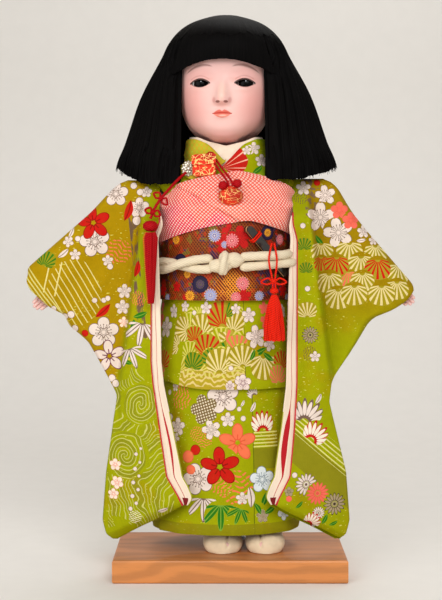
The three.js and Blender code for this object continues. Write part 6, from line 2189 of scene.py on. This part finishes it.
def tassel(word, top, length, shape, finish, body, seed, gold=None):
    """A tassel's skirt: threads over a soft core, from rows of (share from the ends up, radius)."""
    rng = np.random.default_rng(seed)
    wide = profile(shape)
    radius = sizes().strand_radius / MM
    shares = np.linspace(0.02, 1, 14)
    reach = np.maximum(wide(shares)[0] - radius, 0.4) * 0.88
    turns, heights = np.linspace(0, 360, 24, endpoint=False), top[2] - length * (1 - shares)
    core = [oval_points(turns, z, r, r) + (top[0], top[1], 0) for z, r in zip(heights, reach)]
    parts, golden = [skin_over(core)], []
    for k in range(sizes().tassel_strands):
        angle = 2 * math.pi * (k * 0.618 % 1)
        inward = 1 - 0.25 * rng.random() ** 2
        s = np.linspace(1, rng.uniform(0.0, 0.03), 14)
        reach = np.maximum(wide(s)[0] - radius, 0.15) * inward
        swing = angle + 0.18 * np.sin(6 * s + rng.uniform(0, 6)) * (1 - s)
        path = np.stack(
            [top[0] + reach * np.sin(swing), top[1] - reach * np.cos(swing), top[2] - length * (1 - s)], -1
        )
        thread = skin_over(rings_along(path, radius * np.linspace(0.9, 1.0, 14), 6))
        on_left = gold and math.sin(angle) < -0.75 and math.cos(angle) > -0.5
        (golden if on_left else parts).append(thread)
    fitted(word + "_tassel", merged(parts), finish, body, word + "_silk", body)
    if golden:
        fitted(word + "_tassel_gold", merged(golden), gold, body, word + "_silk")


def make_tassels():
    look = colours()
    orange = thread_silk("orange_thread", look.orange)
    crimson = thread_silk("crimson_thread", look.crimson)
    gold = thread_silk("gold_thread", look.gold)
    flared = [(0, 8.0), (0.01, 8.4), (0.35, 7.9), (0.8, 5), (1, 2.1)]
    tassel("orange", TASSEL_TOP, 35, flared, orange, "fan_tassel", 3)
    head = blob(TASSEL_TOP + (0, 0, 2.95), (3.4, 3.4, 2.55), 40, 26, braid)
    fitted("orange_tassel_head", head, orange, "fan_tassel", "orange_silk", "fan_tassel_head")
    top = np.array([-57.5, -49.0, 249.0])
    long = [(0, 2.4), (0.01, 2.8), (0.4, 4.2), (0.8, 5.6), (0.93, 6), (1, 4.4)]
    tassel("crimson", top, 54, long, crimson, "side_tassel", 5, gold)
    head = blob(top + (0, 0, 4.9), (6, 6, 4.5), 48, 30, braid)
    fitted("crimson_tassel_head", head, crimson, "side_tassel", "crimson_silk", "side_tassel_head")


def make_wallet_and_pouch():
    red = gilt_finish("wallet_silk", 0.2)
    centre = on_trunk(-20, 294, 4.8 + 2.25) + (2, 1.15, 6)

    def squared(power):
        return lambda unit: np.sign(unit) * np.abs(unit) ** power

    def seat(form):
        points, faces = form
        return rotate(points, x=-24, z=-10) + centre, faces

    case = seat(blob((0, 0, 0), (9.2, 2.25, 8.5), 72, 44, squared(0.3)))
    fitted("wallet", case, red, "doll", "wallet_brocade", "wallet_case", sharp=60)
    flap = seat(blob((0, -3.2, 4.4), (9.5, 0.62, 4.5), 72, 36, squared(0.3)))
    fitted("wallet_flap_cloth", flap, red, "doll", "wallet_brocade", "wallet_flap", sharp=60)
    silver = silver_finish()
    middle = np.array([-29.0, -27.6, 298.2])
    parts = [blob(middle + (0, 0.9, 0), (4.9, 0.9, 5.6), 30, 16)]
    for count, ring, bead in ((12, 4.6, 1.05), (7, 2.4, 1.15), (1, 0.0, 1.5)):
        for k in range(count):
            angle = 2 * math.pi * k / count
            where = middle + (ring * math.sin(angle), -0.4, 1.15 * ring * math.cos(angle))
            parts.append(blob(where, (bead, bead, bead), 14, 9))
    fitted("silver_drops", merged(parts), silver, "doll", "steel")

    def gathered(unit):
        up = unit[..., 2]
        angle = np.arctan2(unit[..., 0], -unit[..., 1])
        wide = 1 - 0.3 * smoothstep(0.35, 0.9, up) + 0.045 * np.cos(12 * angle) * smoothstep(0.1, 0.8, up)
        return unit * np.stack([wide, wide, np.ones_like(wide)], -1)

    pouch = blob((3.4, -52.2, 276.6), (9.4, 5, 7.2), 72, 40, gathered)
    gilt = gilt_finish("pouch_silk", 0.2, 0.6)
    fitted("gilt_pouch", pouch, gilt, "pouch", "wallet_brocade", "pouch")


# Operators


class DOLL_OT_stage(bpy.types.Operator):
    """Sets the camera, the lights and the studio floor."""

    bl_idname = "doll.stage"
    bl_label = "Studio"

    def execute(self, context):
        make_stage()
        return {"FINISHED"}


class DOLL_OT_hanging_cords(bpy.types.Operator):
    """Hangs the fan's cord, the pouch's cord and the side cord."""

    bl_idname = "doll.hanging_cords"
    bl_label = "Hanging Cords"

    def execute(self, context):
        make_hanging_cords()
        return {"FINISHED"}


class DOLL_OT_stand(bpy.types.Operator):
    """Finishes the wooden board and its steel rod."""

    bl_idname = "doll.stand"
    bl_label = "Stand"

    def execute(self, context):
        make_stand()
        return {"FINISHED"}


class DOLL_OT_head(bpy.types.Operator):
    """Models the face and seats the glass eyes."""

    bl_idname = "doll.head"
    bl_label = "Head"

    def execute(self, context):
        make_head()
        return {"FINISHED"}


class DOLL_OT_hair(bpy.types.Operator):
    """Lays the wig's fringe, sides, back and crown."""

    bl_idname = "doll.hair"
    bl_label = "Hair"

    def execute(self, context):
        make_hair()
        return {"FINISHED"}


class DOLL_OT_limbs(bpy.types.Operator):
    """Models arms, hands, legs and split-toe socks."""

    bl_idname = "doll.limbs"
    bl_label = "Limbs"

    def execute(self, context):
        make_limbs()
        return {"FINISHED"}


class DOLL_OT_bodice(bpy.types.Operator):
    """Dresses the trunk and folds the collars."""

    bl_idname = "doll.bodice"
    bl_label = "Bodice and Collars"

    def execute(self, context):
        make_bodice()
        return {"FINISHED"}


class DOLL_OT_skirt(bpy.types.Operator):
    """Wraps the skirt and folds the tuck under the sash."""

    bl_idname = "doll.skirt"
    bl_label = "Skirt and Tuck"

    def execute(self, context):
        make_skirt()
        return {"FINISHED"}


class DOLL_OT_sleeves(bpy.types.Operator):
    """Hangs the long sleeves with their piping and lining."""

    bl_idname = "doll.sleeves"
    bl_label = "Sleeves"

    def execute(self, context):
        make_sleeves()
        return {"FINISHED"}


class DOLL_OT_sash(bpy.types.Operator):
    """Wraps the sash and ties its bow at the back."""

    bl_idname = "doll.sash"
    bl_label = "Sash and Bow"

    def execute(self, context):
        make_sash()
        return {"FINISHED"}


class DOLL_OT_scarf(bpy.types.Operator):
    """Crosses the dotted scarf over the sash."""

    bl_idname = "doll.scarf"
    bl_label = "Scarf"

    def execute(self, context):
        make_scarf()
        return {"FINISHED"}


class DOLL_OT_sash_cord(bpy.types.Operator):
    """Ties the padded cord round the sash."""

    bl_idname = "doll.sash_cord"
    bl_label = "Sash Cord"

    def execute(self, context):
        make_sash_cord()
        return {"FINISHED"}


class DOLL_OT_fan(bpy.types.Operator):
    """Finishes the folding fan and its tie."""

    bl_idname = "doll.fan"
    bl_label = "Fan"

    def execute(self, context):
        make_fan()
        return {"FINISHED"}


class DOLL_OT_tassels(bpy.types.Operator):
    """Makes both tassels from threads."""

    bl_idname = "doll.tassels"
    bl_label = "Tassels"

    def execute(self, context):
        make_tassels()
        return {"FINISHED"}


class DOLL_OT_wallet(bpy.types.Operator):
    """Makes the wallet, its silver drops and the pouch."""

    bl_idname = "doll.wallet"
    bl_label = "Wallet and Pouch"

    def execute(self, context):
        make_wallet_and_pouch()
        return {"FINISHED"}


# In the order in which they run: the stage and the free cords come first.
OPERATORS = (
    DOLL_OT_stage,
    DOLL_OT_hanging_cords,
    DOLL_OT_stand,
    DOLL_OT_head,
    DOLL_OT_hair,
    DOLL_OT_limbs,
    DOLL_OT_bodice,
    DOLL_OT_skirt,
    DOLL_OT_sleeves,
    DOLL_OT_sash,
    DOLL_OT_scarf,
    DOLL_OT_sash_cord,
    DOLL_OT_fan,
    DOLL_OT_tassels,
    DOLL_OT_wallet,
)


class DOLL_PT_looks(bpy.types.Panel):
    """Lists the doll's colours, sizes and building steps."""

    bl_idname = "DOLL_PT_looks"
    bl_label = "Doll Looks"
    bl_space_type = "VIEW_3D"
    bl_region_type = "UI"
    bl_category = "Doll"

    def draw(self, context):
        for group in (context.scene.doll_colours, context.scene.doll_sizes):
            box = self.layout.box()
            for name in group.bl_rna.properties.keys():
                if name not in {"rna_type", "name"}:
                    box.prop(group, name)
        for kind in OPERATORS:
            self.layout.operator(kind.bl_idname)


CLASSES = (DollColours, DollSizes, *OPERATORS, DOLL_PT_looks)


def register():
    for kind in CLASSES:
        bpy.utils.register_class(kind)
    bpy.types.Scene.doll_colours = bpy.props.PointerProperty(type=DollColours)
    bpy.types.Scene.doll_sizes = bpy.props.PointerProperty(type=DollSizes)


def unregister():
    del bpy.types.Scene.doll_sizes
    del bpy.types.Scene.doll_colours
    for kind in reversed(CLASSES):
        bpy.utils.unregister_class(kind)


def main():
    register()
    bpy.ops.doll.stage()
    bpy.ops.doll.hanging_cords()
    bpy.ops.doll.stand()
    bpy.ops.doll.head()
    bpy.ops.doll.hair()
    bpy.ops.doll.limbs()
    bpy.ops.doll.bodice()
    bpy.ops.doll.skirt()
    bpy.ops.doll.sleeves()
    bpy.ops.doll.sash()
    bpy.ops.doll.scarf()
    bpy.ops.doll.sash_cord()
    bpy.ops.doll.fan()
    bpy.ops.doll.tassels()
    bpy.ops.doll.wallet()
    bpy.context.view_layer.update()


if __name__ == "__main__":
    main()
